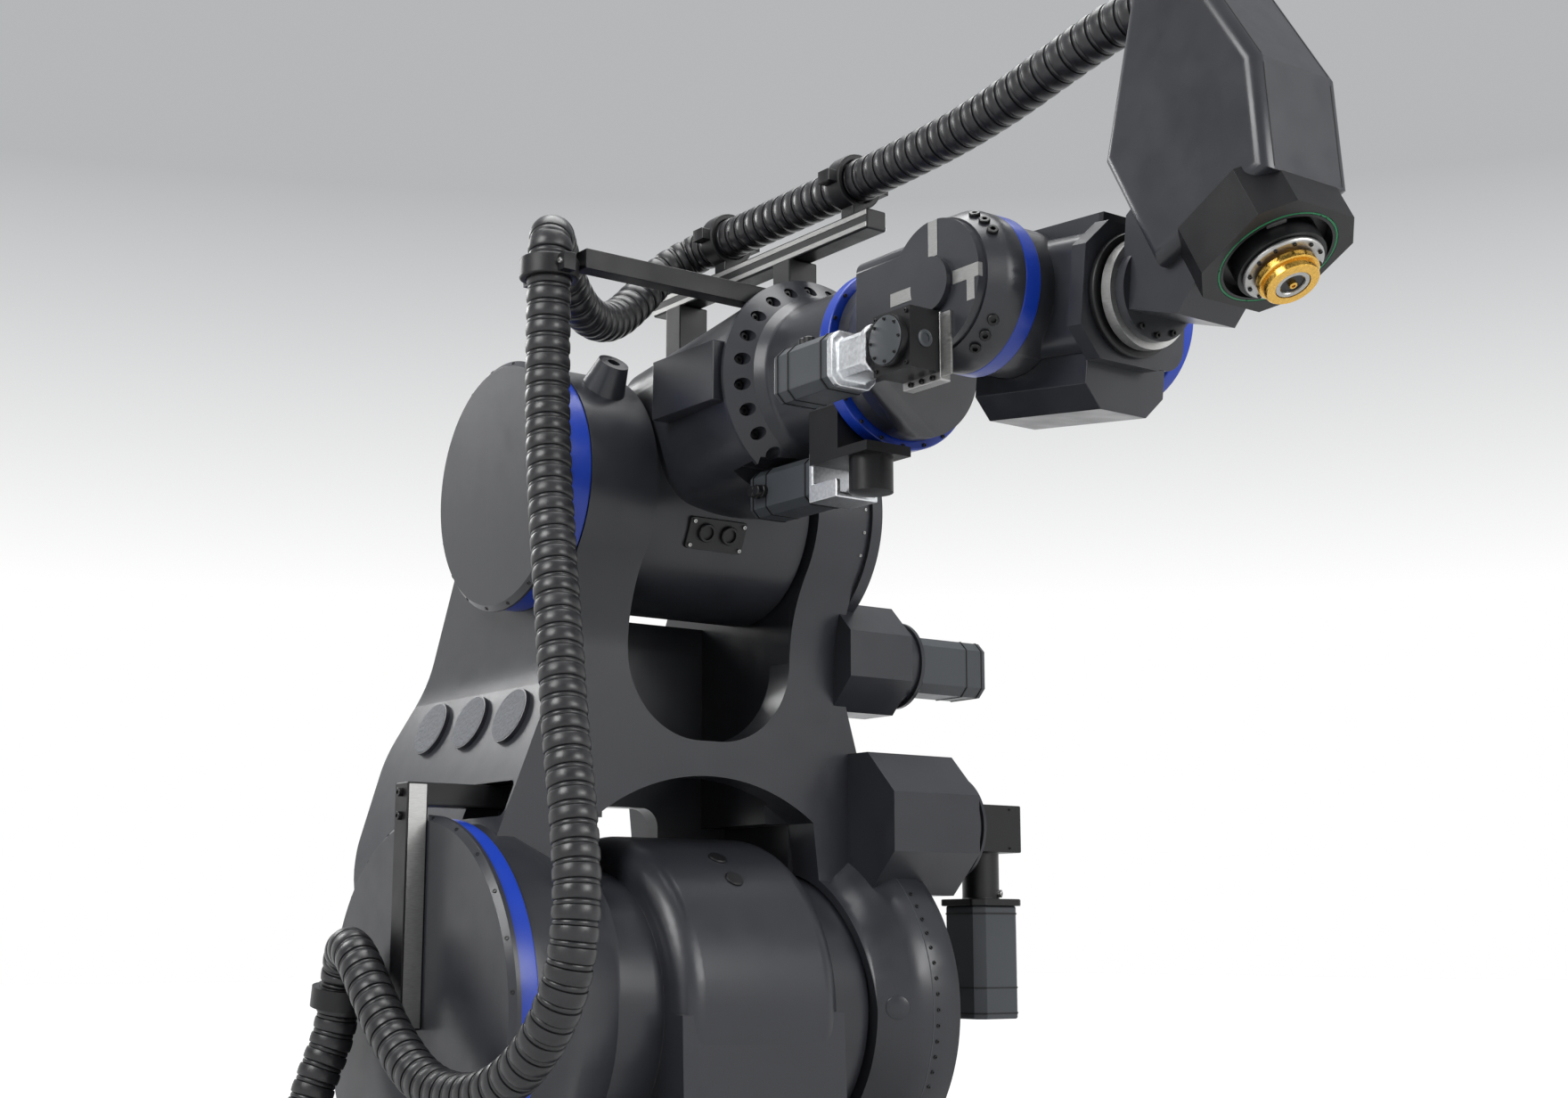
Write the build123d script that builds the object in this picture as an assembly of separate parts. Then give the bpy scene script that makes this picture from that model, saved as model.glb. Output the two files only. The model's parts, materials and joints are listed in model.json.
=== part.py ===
from build123d import *
import math
import os

# Six-axis machining robot arm with an external hose and a spindle head.
# Millimetres, +Z up. The origin is on the floor, on the swivel axis. +X is the arm's reach.
# The shoulder, elbow and wrist-bend axes run along Y. The caps are on the -Y side, the drives on +Y.

# Driving dimensions: where the joint axes lie
SHOULDER_REACH = 300.0
SHOULDER_HEIGHT = 1050.0
LOWER_ARM_LENGTH = 1127.0
FOREARM_RISE = 176.0
ROLL_FACE_REACH = 829.0
WRIST_LENGTH = 411.0
TOOL_FACE_REACH = 276.0
BEND_REST_DEG = 7.0
SPINDLE_PITCH_DEG = 62.0
BEND_REACH = ROLL_FACE_REACH + WRIST_LENGTH

# Fits
RUN_CLEARANCE = 0.3
FACE_GAP = 6.0
OVERRUN = 20.0

# Base
PLATE_RADIUS = 650.0
PLATE_THICKNESS = 50.0
ANCHOR_CIRCLE_RADIUS = 590.0
ANCHOR_HOLE_RADIUS = 17.5
ANCHOR_COUNT = 12
PEDESTAL_FOOT_RADIUS = 540.0
PEDESTAL_WAIST_RADIUS = 425.0
PEDESTAL_TOP_RADIUS = 480.0
PEDESTAL_FLANGE = 45.0
PEDESTAL_HEIGHT = 280.0
RIB_THICKNESS = 36.0
RIB_COUNT = 12
SLEW_RING_RADIUS = 500.0
SLEW_RING_HEIGHT = 45.0
SLEW_SPIGOT_RADIUS = 300.0

# Carousel
TURNTABLE_RADIUS = 520.0
TURNTABLE_HEIGHT = 95.0
TURNTABLE_CHAMFER = 18.0
DRUM_RADIUS = 375.0
DRUM_HALF_WIDTH = 208.0
DRUM_FILLET = 55.0
PILLAR_BACK = 360.0
PILLAR_FRONT = 440.0
PILLAR_SHARE = 0.98
NECK_RADIUS = 300.0
TRUNNION_RADIUS = 240.0

# Lower arm casting, measured from the shoulder axis
ARM_FRONT = 158.0
ARM_HUMP_BACK = 530.0
ARM_HUMP_RISE = 570.0
ARM_HUMP_LOW_RISE = 360.0
ARM_HUMP_FILLET = 130.0
ARM_BACK_SHARE = 0.93
ELBOW_BOSS_RADIUS = 272.0
SHOULDER_BOSS_RADIUS = 325.0
SHOULDER_RIM_RADIUS = 392.0
SHOULDER_RIM_WIDTH = 70.0
ELBOW_LEFT = 384.0
ELBOW_RIGHT = 366.0
SHOULDER_LEFT = 558.0
SHOULDER_RIGHT = 500.0
FLARE_TOP_RISE = 735.0
FLARE_LOW_RISE = 280.0
FLARE_FILLET = 280.0
CHEEK_HALF_GAP = 218.0
FORK_FLOOR_RISE = 582.0
FORK_FILLET = 190.0
ARCH_TOP_RISE = 505.0
ARCH_CORNER_RISE = 412.0
ARCH_CORNER_HALF = 286.0
ARCH_FOOT_HALF = 334.0
BRIDGE_THICKNESS = 75.0
BACK_WEB_REACH = 240.0
BACK_WEB_THICKNESS = 45.0
BACK_WEB_TOP_RISE = 890.0
BACK_ARCH_HALF = 95.0
BACK_ARCH_RISE = 455.0
BACK_ARCH_FILLET = 45.0
SIDE_PAD_RADIUS = 64.0
SIDE_PAD_RISE = 620.0
SIDE_PAD_PITCH = 180.0
SIDE_PAD_MIDDLE = 148.0
SIDE_PAD_PROUD = 10.0
PIN_BOSS_RADIUS = 58.0
PIN_BOSS_TIP_RADIUS = 34.0
PIN_BOSS_HOLE_RADIUS = 14.0
PIN_BOSS_HEIGHT = 62.0
PIN_BOSS_SEAT = 40.0
PIN_BOSS_ANGLE_DEG = 50.0
PIN_BOSS_OFFSET = 300.0
POCKET_FRONT = 150.0
POCKET_LOW_RISE = 401.0
POCKET_TOP_RISE = 476.0
POCKET_FLOOR = 425.0
POCKET_CORNER = 16.0

# Shoulder and elbow covers
SHOULDER_RING_RADIUS = 399.0
SHOULDER_RING_WIDTH = 44.0
SHOULDER_CAP_RADIUS = 406.0
SHOULDER_CAP_THICKNESS = 22.0
CAP_CHAMFER = 12.0
SHOULDER_COVER_RADIUS = 382.0
SHOULDER_COVER_THICKNESS = 48.0
ELBOW_TRUNNION_RADIUS = 172.0
ELBOW_RING_RADIUS = 270.0
ELBOW_RING_WIDTH = 58.0
ELBOW_CAP_RADIUS = 276.0
ELBOW_CAP_THICKNESS = 18.0
ELBOW_COVER_RADIUS = 282.0
ELBOW_COVER_THICKNESS = 58.0
COVER_STEP = 26.0

# Shoulder drive, on the +Y side of the lower arm
SHOULDER_DRIVE_REACH = 165.0
SHOULDER_DRIVE_RISE_SHARE = 0.3665
SHOULDER_GEAR_RADIUS = 174.0
SHOULDER_GEAR_END = 640.0
SHOULDER_GEAR_NECK_RADIUS = 118.0
SHOULDER_GEAR_NECK_END = 700.0
ANGLE_BOX_SIDE = 112.0
ANGLE_BOX_END = 868.0
ANGLE_NECK_RADIUS = 44.0
ANGLE_NECK_DROP = 110.0
MOTOR_PLATE_SIDE = 158.0
MOTOR_PLATE_THICKNESS = 16.0
SHOULDER_MOTOR_SIDE = 138.0
SHOULDER_MOTOR_LENGTH = 262.0

# Elbow drive, on the +Y side of the lower arm
ELBOW_DRIVE_REACH = 95.0
ELBOW_DRIVE_RISE_SHARE = 0.71
ELBOW_GEAR_RADIUS = 138.0
ELBOW_GEAR_END = 530.0
ELBOW_GEAR_NECK_RADIUS = 96.0
ELBOW_GEAR_NECK_END = 592.0
ELBOW_MOTOR_SIDE = 134.0
ELBOW_MOTOR_LENGTH = 222.0
MOTOR_CHAMFER_SHARE = 0.16
RUN_SHARE = 0.45

# Hose holders
HOSE_RADIUS = 45.0
CLAMP_WALL = 15.0
CLAMP_LENGTH = 42.0
BAR_WIDTH = 54.0
BAR_DEPTH = 48.0
BAR_REACH = 10.0
BAR_TOP_RISE = 471.0
BAR_LOW_RISE = -30.0
CLAMP_ARM_HEIGHT = 34.0
LOWER_CLAMP_BACK = 208.0
LOWER_CLAMP_OFFSET = 690.0
LOWER_CLAMP_RISE = 32.0
LOWER_CLAMP_LEAN_DEG = 11.0
UPPER_CLAMP_BACK = 23.0
UPPER_CLAMP_OFFSET = 600.0
UPPER_CLAMP_DROP = 27.0
RAIL_CLAMP_REAR = 212.0
RAIL_CLAMP_FRONT = 677.0
FEED_GLAND_REACH = 20.0
FEED_GLAND_OFFSET = 566.0
FEED_GLAND_RISE = 49.0
FEED_GLAND_TILT_DEG = 6.789
HEAD_GLAND_REACH = 328.0
HEAD_GLAND_RISE = 497.0
RAIL_BACK = -52.0
RAIL_FRONT = 752.0
RAIL_WIDTH = 52.0
RAIL_HEIGHT = 44.0
RAIL_RISE = 470.0
RAIL_HOSE_RISE = 592.0
RAIL_BRACKET_LENGTH = 60.0
RAIL_BRACKET_WIDTH = 76.0
RAIL_BRACKET_REAR = 20.0
RAIL_BRACKET_FRONT = 440.0
CLAMP_POST_WIDTH = 40.0
ROD_SIDE = 42.0
ROD_REACH = 470.0
ROD_RISE = 373.0

# Elbow housing and forearm, measured from the elbow axis
ELBOW_DRUM_RADIUS = 252.0
ELBOW_DRUM_HALF_WIDTH = 206.0
HOUSING_BACK = 90.0
HOUSING_HALF_WIDTH = 196.0
HOUSING_TOP = 292.0
HOUSING_LOW = 60.0
HOUSING_CORNER = 85.0
FLANGE_BACK = 528.0
FLANGE_RIM = 8.0
FLANGE_FRONT = 578.0
FLANGE_RADIUS = 235.0
FLANGE_NECK_RADIUS = 226.0
FLANGE_BOLT_RADIUS = 206.0
FLANGE_HOLE_RADIUS = 13.0
FLANGE_HOLE_FLOOR = 12.0
FLANGE_BOLT_COUNT = 24
TUBE_RADIUS = 172.0
TUBE_FOOT_RADIUS = 188.0
TUBE_FOOT_LENGTH = 33.0
ROLL_RING_RADIUS = 187.5
ROLL_RING_WIDTH = 32.0
ROLL_SPIGOT_RADIUS = 140.0
SIDE_COVER_BACK = 292.0
SIDE_COVER_FRONT = 520.0
SIDE_COVER_LOW = 118.0
SIDE_COVER_TOP = 247.0
SIDE_COVER_FACE = 250.0

# Forearm roll drive, under the forearm, measured back from the roll face
ROLL_DRIVE_SIDE = 80.0
ROLL_DRIVE_DROP = 239.0
ROLL_MOTOR_BACK = 345.0
ROLL_MOTOR_FRONT = 135.0
ROLL_MOTOR_SIDE = 98.0
ROLL_BELL_FRONT = 46.0
ROLL_BELL_SIDE = 106.0
ROLL_BELL_WALL = 12.0
ROLL_BELL_RIM_SHARE = 0.35
ROLL_GEAR_RADIUS = 44.0
ROLL_GEAR_LOW = 286.0
ROLL_GEAR_TOP = 196.0
ROLL_PLATE_HALF = 56.0
ROLL_PLATE_THICKNESS = 20.0
ROLL_SEAT_BACK = 130.0
MOTOR_BAY_BACK = 380.0
MOTOR_BAY_SIDE = 66.0
MOTOR_BAY_TOP = 170.0

# Wrist roll body
WRIST_FLANGE_RADIUS = 170.0
WRIST_FLANGE_THICKNESS = 34.0
WRIST_NECK_LENGTH = 115.0
WRIST_ARM_HALF_HEIGHT = 118.0
WRIST_ARM_CORNER = 26.0
BEND_HUB_RADIUS = 148.0
BEND_HUB_FACE = 250.0
BEND_HUB_CHAMFER = 22.0
BEND_HUB_DEPTH = 45.0
BEND_ARM_LEFT = 240.0
BEND_RING_WIDTH = 38.0
BEND_FACE = 142.0
BEND_SPIGOT_RADIUS = 96.0
BEND_DISC_RADIUS = 122.0
BEND_DISC_THICKNESS = 18.0
BEND_CAP_RADIUS = 50.0
BEND_CAP_THICKNESS = 12.0
KEYWAY_WIDTH = 26.0
KEYWAY_LENGTH = 70.0
KEYWAY_DEPTH = 10.0

# Wrist bend drive, on the -Y side of the wrist, measured from the bend axis
BEND_DRIVE_OFFSET = 316.0
BEND_DRIVE_DROP = 110.0
BEND_MOTOR_BACK = 348.0
BEND_MOTOR_FRONT = 184.0
BEND_MOTOR_SIDE = 104.0
BEND_BELL_FRONT = 82.0
BEND_BELL_SIDE = 76.0
BEND_BELL_FLANGE = 88.0
BEND_BELL_WALL = 14.0
BEND_GEAR_FRONT = 20.0
BEND_GEAR_HEIGHT = 112.0
BEND_GEAR_INNER = 273.0
BEND_GEAR_OUTER = 341.0
BEND_COVER_RADIUS = 47.0
BEND_COVER_THICKNESS = 14.0
BEND_PLATE_DROP = 181.0
BEND_PLATE_FRONT = 23.0

# Wrist bend link, straight, before it is turned down to its rest angle
LINK_BARREL_RADIUS = 138.0
LINK_RIGHT = 222.0
LINK_RING_RADIUS = 146.0
LINK_RING_WIDTH = 30.0
LINK_END_RADIUS = 120.0
LINK_END_PROUD = 8.0
LINK_NECK_HALF_HEIGHT = 112.0
LINK_NECK_LEFT = 100.0
LINK_NECK_RIGHT = 170.0
LINK_NECK_CORNER = 45.0
LINK_FACE_HALF = 124.0
LINK_FACE_CORNER = 52.0
LINK_FACE_THICKNESS = 34.0
TOOL_RING_RADIUS = 112.0
TOOL_RING_WIDTH = 14.0
TOOL_SPIGOT_RADIUS = 66.0
TOOL_FLANGE_RADIUS = 100.0
TOOL_FLANGE_THICKNESS = 22.0
DRIVE_COVER_BACK = 95.0
DRIVE_COVER_FRONT = 200.0
DRIVE_COVER_LEFT = 70.0
DRIVE_COVER_RIGHT = 125.0
DRIVE_COVER_DROP = 205.0
DRIVE_COVER_CORNER = 40.0

# Spindle head, measured from the nose tip back along the spindle axis
NOSE_FORWARD = 590.0
NOSE_DROP = 100.0
NOSE_BLOCK_BACK = 165.0
NOSE_BLOCK_FRONT = 62.0
NOSE_BLOCK_HALF = 118.0
NOSE_BLOCK_CORNER = 48.0
SEAL_RADIUS = 106.0
SEAL_WALL = 5.0
SEAL_THICKNESS = 5.0
NOSE_RECESS_RADIUS = 96.0
NOSE_RECESS_DEPTH = 26.0
CARTRIDGE_RADIUS = 78.0
CARTRIDGE_FRONT = 44.0
NOSE_PLATE_RADIUS = 71.0
NOSE_PLATE_FRONT = 34.0
GOLD_BACK_RADIUS = 54.0
GOLD_STEP = 15.0
GOLD_FRONT_RADIUS = 47.5
GOLD_EDGE = 2.0
NOSE_SPIGOT_RADIUS = 40.0
NOSE_BORE_RADIUS = 31.0
NOSE_BORE_DEPTH = 8.0
CORE_RADIUS = 20.0
CORE_PROUD = 3.0

# Head cover outline, forward of the bend axis and above it
COVER_HALF_WIDTH = 108.0
COVER_FILLET = 24.0
COVER_TIP = (381.0, -30.0)
COVER_BACK = (268.0, 186.0)
COVER_TOP_BACK = (366.0, 560.0)
COVER_TOP_FRONT = (440.0, 560.0)
COVER_FRONT_TOP = (618.0, 270.0)
COVER_FRONT_LOW = (633.0, 69.0)
BRACKET_HALF_WIDTH = 72.0
BRACKET_TOP_BACK = (246.0, 60.0)
BRACKET_TOP = (310.0, 105.0)
BRACKET_TOP_FRONT = (460.0, 60.0)
BRACKET_LOW_FRONT = (480.0, -30.0)
BRACKET_LOW = (400.0, -115.0)
BRACKET_LOW_BACK = (246.0, -66.0)
GLAND_RADIUS = 60.0
GLAND_LENGTH = 46.0

# Hose routes, chosen by hand
FEED_ROUTE = [
    (20, -566, 430), (20, -650, 440), (26, -722, 492), (36, -752, 590), (48, -760, 700), (58, -752, 810),
    (66, -724, 915), (78, -690, 1010), (92, -690, 1082),
]
RISER_ROUTE = [
    (92, -690, 1082), (106, -690, 1154), (166, -712, 1190), (250, -728, 1165), (335, -730, 1085),
    (430, -728, 1000), (540, -722, 930), (670, -710, 905), (810, -704, 930), (930, -694, 1005),
    (1010, -684, 1120), (1025, -674, 1260), (985, -664, 1425), (930, -654, 1600), (880, -640, 1780),
    (820, -622, 1960), (775, -610, 2140), (747, -600, 2320), (747, -600, 2523),
]
LOOP_ROUTE = [
    (747, -600, 2523), (747, -600, 2575), (720, -580, 2612), (665, -540, 2612), (600, -480, 2572),
    (535, -405, 2535), (470, -320, 2530), (410, -235, 2562), (372, -155, 2630), (366, -85, 2712),
    (405, -16, 2762), (470, 0, 2769), (998, 0, 2769),
]
FRONT_ROLL_ROUTE = [(998, 0, 2769), (1095, 0, 2769), (1240, 0, 2775)]
FRONT_BEND_ROUTE = [(1240, 0, 2775), (1385, 0, 2781), (1540, 0, 2811)]
FRONT_HEAD_ROUTE = [(1540, 0, 2811), (1695, 0, 2841), (1790, 0, 2850), (1868, 0, 2850)]

# Places worked out from the driving dimensions
ELBOW_HEIGHT = SHOULDER_HEIGHT + LOWER_ARM_LENGTH
ROLL_HEIGHT = ELBOW_HEIGHT + FOREARM_RISE
BEND_X = SHOULDER_REACH + BEND_REACH
PEDESTAL_TOP = PLATE_THICKNESS + PEDESTAL_HEIGHT
SLEW_RING_TOP = PEDESTAL_TOP + SLEW_RING_HEIGHT
TURNTABLE_LOW = SLEW_RING_TOP + FACE_GAP
TURNTABLE_TOP = TURNTABLE_LOW + TURNTABLE_HEIGHT
ROLL_FACE_X = SHOULDER_REACH + ROLL_FACE_REACH
WRIST_BACK_X = ROLL_FACE_X + FACE_GAP

# Frames: local Z is the axis, local X is forward where it can be
BASE_AXIS = Plane.XY
SHOULDER_AXIS = Plane((SHOULDER_REACH, 0, SHOULDER_HEIGHT), x_dir=(1, 0, 0), z_dir=(0, 1, 0))
ELBOW_AXIS = Plane((SHOULDER_REACH, 0, ELBOW_HEIGHT), x_dir=(1, 0, 0), z_dir=(0, 1, 0))
ROLL_AXIS = Plane((SHOULDER_REACH, 0, ROLL_HEIGHT), x_dir=(0, 1, 0), z_dir=(1, 0, 0))
BEND_AXIS = Plane((BEND_X, 0, ROLL_HEIGHT), x_dir=(1, 0, 0), z_dir=(0, 1, 0))
LINK_AXIS = Plane((BEND_X, 0, ROLL_HEIGHT), x_dir=(0, 1, 0), z_dir=(1, 0, 0))
NOSE_TIP = (BEND_X + NOSE_FORWARD, 0, ROLL_HEIGHT - NOSE_DROP)
SPINDLE_DIRECTION = (
    math.cos(math.radians(SPINDLE_PITCH_DEG)), 0, -math.sin(math.radians(SPINDLE_PITCH_DEG)),
)
SPINDLE_AXIS = Plane(NOSE_TIP, x_dir=(0, 1, 0), z_dir=SPINDLE_DIRECTION)


def disc(frame, radius, low, high):
    """A cylinder on a frame's axis between two places along it."""
    solid = Cylinder(radius, high - low, align=(Align.CENTER, Align.CENTER, Align.MIN))
    return frame * Pos(0, 0, low) * solid


def ring(frame, outer, inner, low, high):
    """A flat ring on a frame's axis."""
    return disc(frame, outer, low, high) - disc(frame, inner, low - OVERRUN, high + OVERRUN)


def lathe(frame, profile):
    """A profile of (radius, place along the axis) points turned about a frame's axis."""
    face = Plane.XZ * Polygon(*profile, align=None)
    return frame * revolve(face, Axis.Z)


def block(low, high):
    """A box between two corners."""
    size = [b - a for a, b in zip(low, high)]
    return Pos(*low) * Box(*size, align=(Align.MIN, Align.MIN, Align.MIN))


def side_slab(face, left, right):
    """A face drawn in X and Z, from one Y to another."""
    frame = Plane((0, right, 0), x_dir=(1, 0, 0), z_dir=(0, -1, 0))
    return frame * extrude(face, right - left, dir=(0, 0, 1))


def front_slab(face, back, front):
    """A face drawn in Y and Z, from one X to another."""
    frame = Plane((back, 0, 0), x_dir=(0, 1, 0), z_dir=(1, 0, 0))
    return frame * extrude(face, front - back, dir=(0, 0, 1))


def polygon(*points):
    return Polygon(*points, align=None)


def octagon_bar(frame, radius, low, high):
    """An eight-sided bar along a frame's axis, flat side up."""
    face = Rot(0, 0, 180 / 8) * RegularPolygon(radius, 8)
    return frame * Pos(0, 0, low) * extrude(face, high - low, dir=(0, 0, 1))


def motor_bar(frame, side, low, high):
    """A square motor case with chamfered long edges."""
    face = chamfer(Rectangle(side, side).vertices(), side * MOTOR_CHAMFER_SHARE)
    return frame * Pos(0, 0, low) * extrude(face, high - low, dir=(0, 0, 1))


def hose(name, route):
    """A hose along straight runs joined by tangent arcs."""
    points = [Vector(*p) for p in route]
    radii = []
    for a, b, c in zip(points, points[1:], points[2:]):
        turn = math.radians((b - a).get_angle(c - b))
        radii.append(RUN_SHARE * min((b - a).length, (c - b).length) / math.tan(turn / 2))
    path = FilletPolyline(*points, radius=radii)
    start = Plane(path @ 0, z_dir=path % 0)
    tube = sweep(start * Circle(HOSE_RADIUS), path=path)
    share = tube.volume / (math.pi * HOSE_RADIUS ** 2 * path.length)
    print(name, "length", round(path.length), "volume share", round(share, 4))
    print(name, "radii", [round(r) for r in radii])
    return tube


def hose_clamp(centre, direction):
    """A ring that grips the hose."""
    frame = Plane(centre, z_dir=direction)
    outer = HOSE_RADIUS + CLAMP_WALL
    return ring(frame, outer, HOSE_RADIUS + RUN_CLEARANCE, -CLAMP_LENGTH / 2, CLAMP_LENGTH / 2)


def clamp_bore(centre, direction):
    frame = Plane(centre, z_dir=direction)
    return disc(frame, HOSE_RADIUS + RUN_CLEARANCE, -OVERRUN - CLAMP_LENGTH, OVERRUN + CLAMP_LENGTH)


def base_plate():
    plate = disc(BASE_AXIS, PLATE_RADIUS, 0, PLATE_THICKNESS)
    hole = disc(BASE_AXIS, ANCHOR_HOLE_RADIUS, -OVERRUN, PLATE_THICKNESS + OVERRUN)
    for place in PolarLocations(ANCHOR_CIRCLE_RADIUS, ANCHOR_COUNT):
        plate -= place * hole
    return plate


def base_pedestal():
    low = PLATE_THICKNESS
    flange = PEDESTAL_TOP - PEDESTAL_FLANGE
    column = lathe(BASE_AXIS, [
        (0, low), (PEDESTAL_FOOT_RADIUS, low), (PEDESTAL_FOOT_RADIUS, low + RIB_THICKNESS),
        (PEDESTAL_WAIST_RADIUS, low + PEDESTAL_FLANGE * 2), (PEDESTAL_WAIST_RADIUS, flange),
        (PEDESTAL_TOP_RADIUS, flange), (PEDESTAL_TOP_RADIUS, PEDESTAL_TOP), (0, PEDESTAL_TOP),
    ])
    inner = PEDESTAL_WAIST_RADIUS - RIB_THICKNESS
    outer = PEDESTAL_FOOT_RADIUS - RIB_THICKNESS
    top = PEDESTAL_TOP_RADIUS - RIB_THICKNESS / 2
    face = polygon((inner, low), (outer, low), (outer, low + RIB_THICKNESS), (top, flange), (inner, flange))
    rib = side_slab(face, -RIB_THICKNESS / 2, RIB_THICKNESS / 2)
    for turn in range(RIB_COUNT):
        column += Rot(0, 0, (turn + 0.5) * 360 / RIB_COUNT) * rib
    return column


def slew_ring():
    return ring(BASE_AXIS, SLEW_RING_RADIUS, SLEW_SPIGOT_RADIUS + RUN_CLEARANCE, PEDESTAL_TOP, SLEW_RING_TOP)


def turntable():
    edge = TURNTABLE_RADIUS - TURNTABLE_CHAMFER
    return lathe(BASE_AXIS, [
        (0, PEDESTAL_TOP + FACE_GAP), (SLEW_SPIGOT_RADIUS, PEDESTAL_TOP + FACE_GAP),
        (SLEW_SPIGOT_RADIUS, TURNTABLE_LOW), (TURNTABLE_RADIUS, TURNTABLE_LOW),
        (TURNTABLE_RADIUS, TURNTABLE_TOP - TURNTABLE_CHAMFER), (edge, TURNTABLE_TOP), (0, TURNTABLE_TOP),
    ])


def carousel_casting():
    drum = disc(SHOULDER_AXIS, DRUM_RADIUS, -DRUM_HALF_WIDTH, DRUM_HALF_WIDTH)
    drum = fillet(drum.edges().filter_by(GeomType.CIRCLE), DRUM_FILLET)
    face = polygon(
        (-PILLAR_BACK, TURNTABLE_TOP), (PILLAR_FRONT, TURNTABLE_TOP),
        (SHOULDER_REACH + DRUM_RADIUS, SHOULDER_HEIGHT - DRUM_RADIUS / 2),
        (SHOULDER_REACH + DRUM_RADIUS * PILLAR_SHARE, SHOULDER_HEIGHT),
        (SHOULDER_REACH - DRUM_RADIUS * PILLAR_SHARE, SHOULDER_HEIGHT),
    )
    pillar = side_slab(face, -DRUM_HALF_WIDTH, DRUM_HALF_WIDTH)
    necks = disc(SHOULDER_AXIS, NECK_RADIUS, FACE_GAP - ARCH_FOOT_HALF, ARCH_FOOT_HALF - FACE_GAP)
    trunnions = disc(SHOULDER_AXIS, TRUNNION_RADIUS, FACE_GAP - SHOULDER_LEFT, SHOULDER_RIGHT - FACE_GAP)
    return drum + pillar + necks + trunnions


def feed_gland():
    tilt = math.radians(FEED_GLAND_TILT_DEG)
    centre = (FEED_GLAND_REACH, -FEED_GLAND_OFFSET, TURNTABLE_LOW + FEED_GLAND_RISE)
    frame = Plane(centre, z_dir=(0, -math.cos(tilt), math.sin(tilt)))
    seat = disc(BASE_AXIS, TURNTABLE_RADIUS, 0, TURNTABLE_TOP)
    return disc(frame, GLAND_RADIUS, -GLAND_LENGTH * 2, 0) - seat


def arm_point(reach, rise):
    return (SHOULDER_REACH + reach, SHOULDER_HEIGHT + rise)


def lower_arm_casting():
    casting = arm_side() & arm_front()
    casting += shoulder_rim(-1, SHOULDER_LEFT) + shoulder_rim(1, SHOULDER_RIGHT)
    casting -= fork_cut() + arch_cut() + inner_cut() + back_cuts() + bearing_bores()
    return casting - bar_pocket() + side_pads() + pin_boss()


def arm_side():
    """The arm as it is seen from the side: two round ends, a flat front and a hump behind."""
    body = polygon(
        arm_point(ARM_FRONT, 0),
        arm_point(ARM_FRONT, LOWER_ARM_LENGTH),
        arm_point(-ELBOW_BOSS_RADIUS * ARM_BACK_SHARE, LOWER_ARM_LENGTH),
        arm_point(-ARM_HUMP_BACK, ARM_HUMP_RISE),
        arm_point(-ARM_HUMP_BACK * ARM_BACK_SHARE, ARM_HUMP_LOW_RISE),
        arm_point(-SHOULDER_BOSS_RADIUS * ARM_BACK_SHARE, 0),
    )
    body = fillet(body.vertices().sort_by(Axis.X)[:2], ARM_HUMP_FILLET)
    side = body + Pos(*arm_point(0, 0)) * Circle(SHOULDER_BOSS_RADIUS)
    side += Pos(*arm_point(0, LOWER_ARM_LENGTH)) * Circle(ELBOW_BOSS_RADIUS)
    return side_slab(side, -SHOULDER_LEFT, SHOULDER_RIGHT)


def arm_front():
    """The arm as it is seen from the front: narrow at the elbow, with legs that flare out below."""
    top = SHOULDER_HEIGHT + LOWER_ARM_LENGTH + ELBOW_BOSS_RADIUS + OVERRUN
    low = SHOULDER_HEIGHT - SHOULDER_RIM_RADIUS - OVERRUN
    flare_top = SHOULDER_HEIGHT + FLARE_TOP_RISE
    flare_low = SHOULDER_HEIGHT + FLARE_LOW_RISE
    face = polygon(
        (-ELBOW_LEFT, top), (-ELBOW_LEFT, flare_top), (-SHOULDER_LEFT, flare_low), (-SHOULDER_LEFT, low),
        (SHOULDER_RIGHT, low), (SHOULDER_RIGHT, flare_low), (ELBOW_RIGHT, flare_top), (ELBOW_RIGHT, top),
    )
    levels = face.vertices().group_by(Axis.Y)
    face = fillet(levels[1] + levels[2], FLARE_FILLET)
    reach = ARM_HUMP_BACK + OVERRUN
    return front_slab(face, SHOULDER_REACH - reach, SHOULDER_REACH + reach)


def shoulder_rim(side, width):
    """The round rim of a shoulder leg, on the left (-1) or the right (1)."""
    return lathe(SHOULDER_AXIS, [
        (0, side * width), (SHOULDER_RIM_RADIUS, side * width),
        (SHOULDER_RIM_RADIUS, side * (width - SHOULDER_RIM_WIDTH)),
        (SHOULDER_BOSS_RADIUS, side * ARCH_FOOT_HALF), (0, side * ARCH_FOOT_HALF),
    ])


def bar_pocket():
    """The pocket in the left cheek where the hose bar is bolted."""
    back, low = arm_point(BAR_REACH - BAR_WIDTH / 2 - FACE_GAP, POCKET_LOW_RISE)
    front, top = arm_point(POCKET_FRONT, POCKET_TOP_RISE)
    pocket = block((back, -SHOULDER_LEFT - OVERRUN, low), (front, -POCKET_FLOOR, top))
    return fillet(pocket.edges().filter_by(Axis.Y).sort_by(Axis.X)[2:], POCKET_CORNER)


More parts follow.
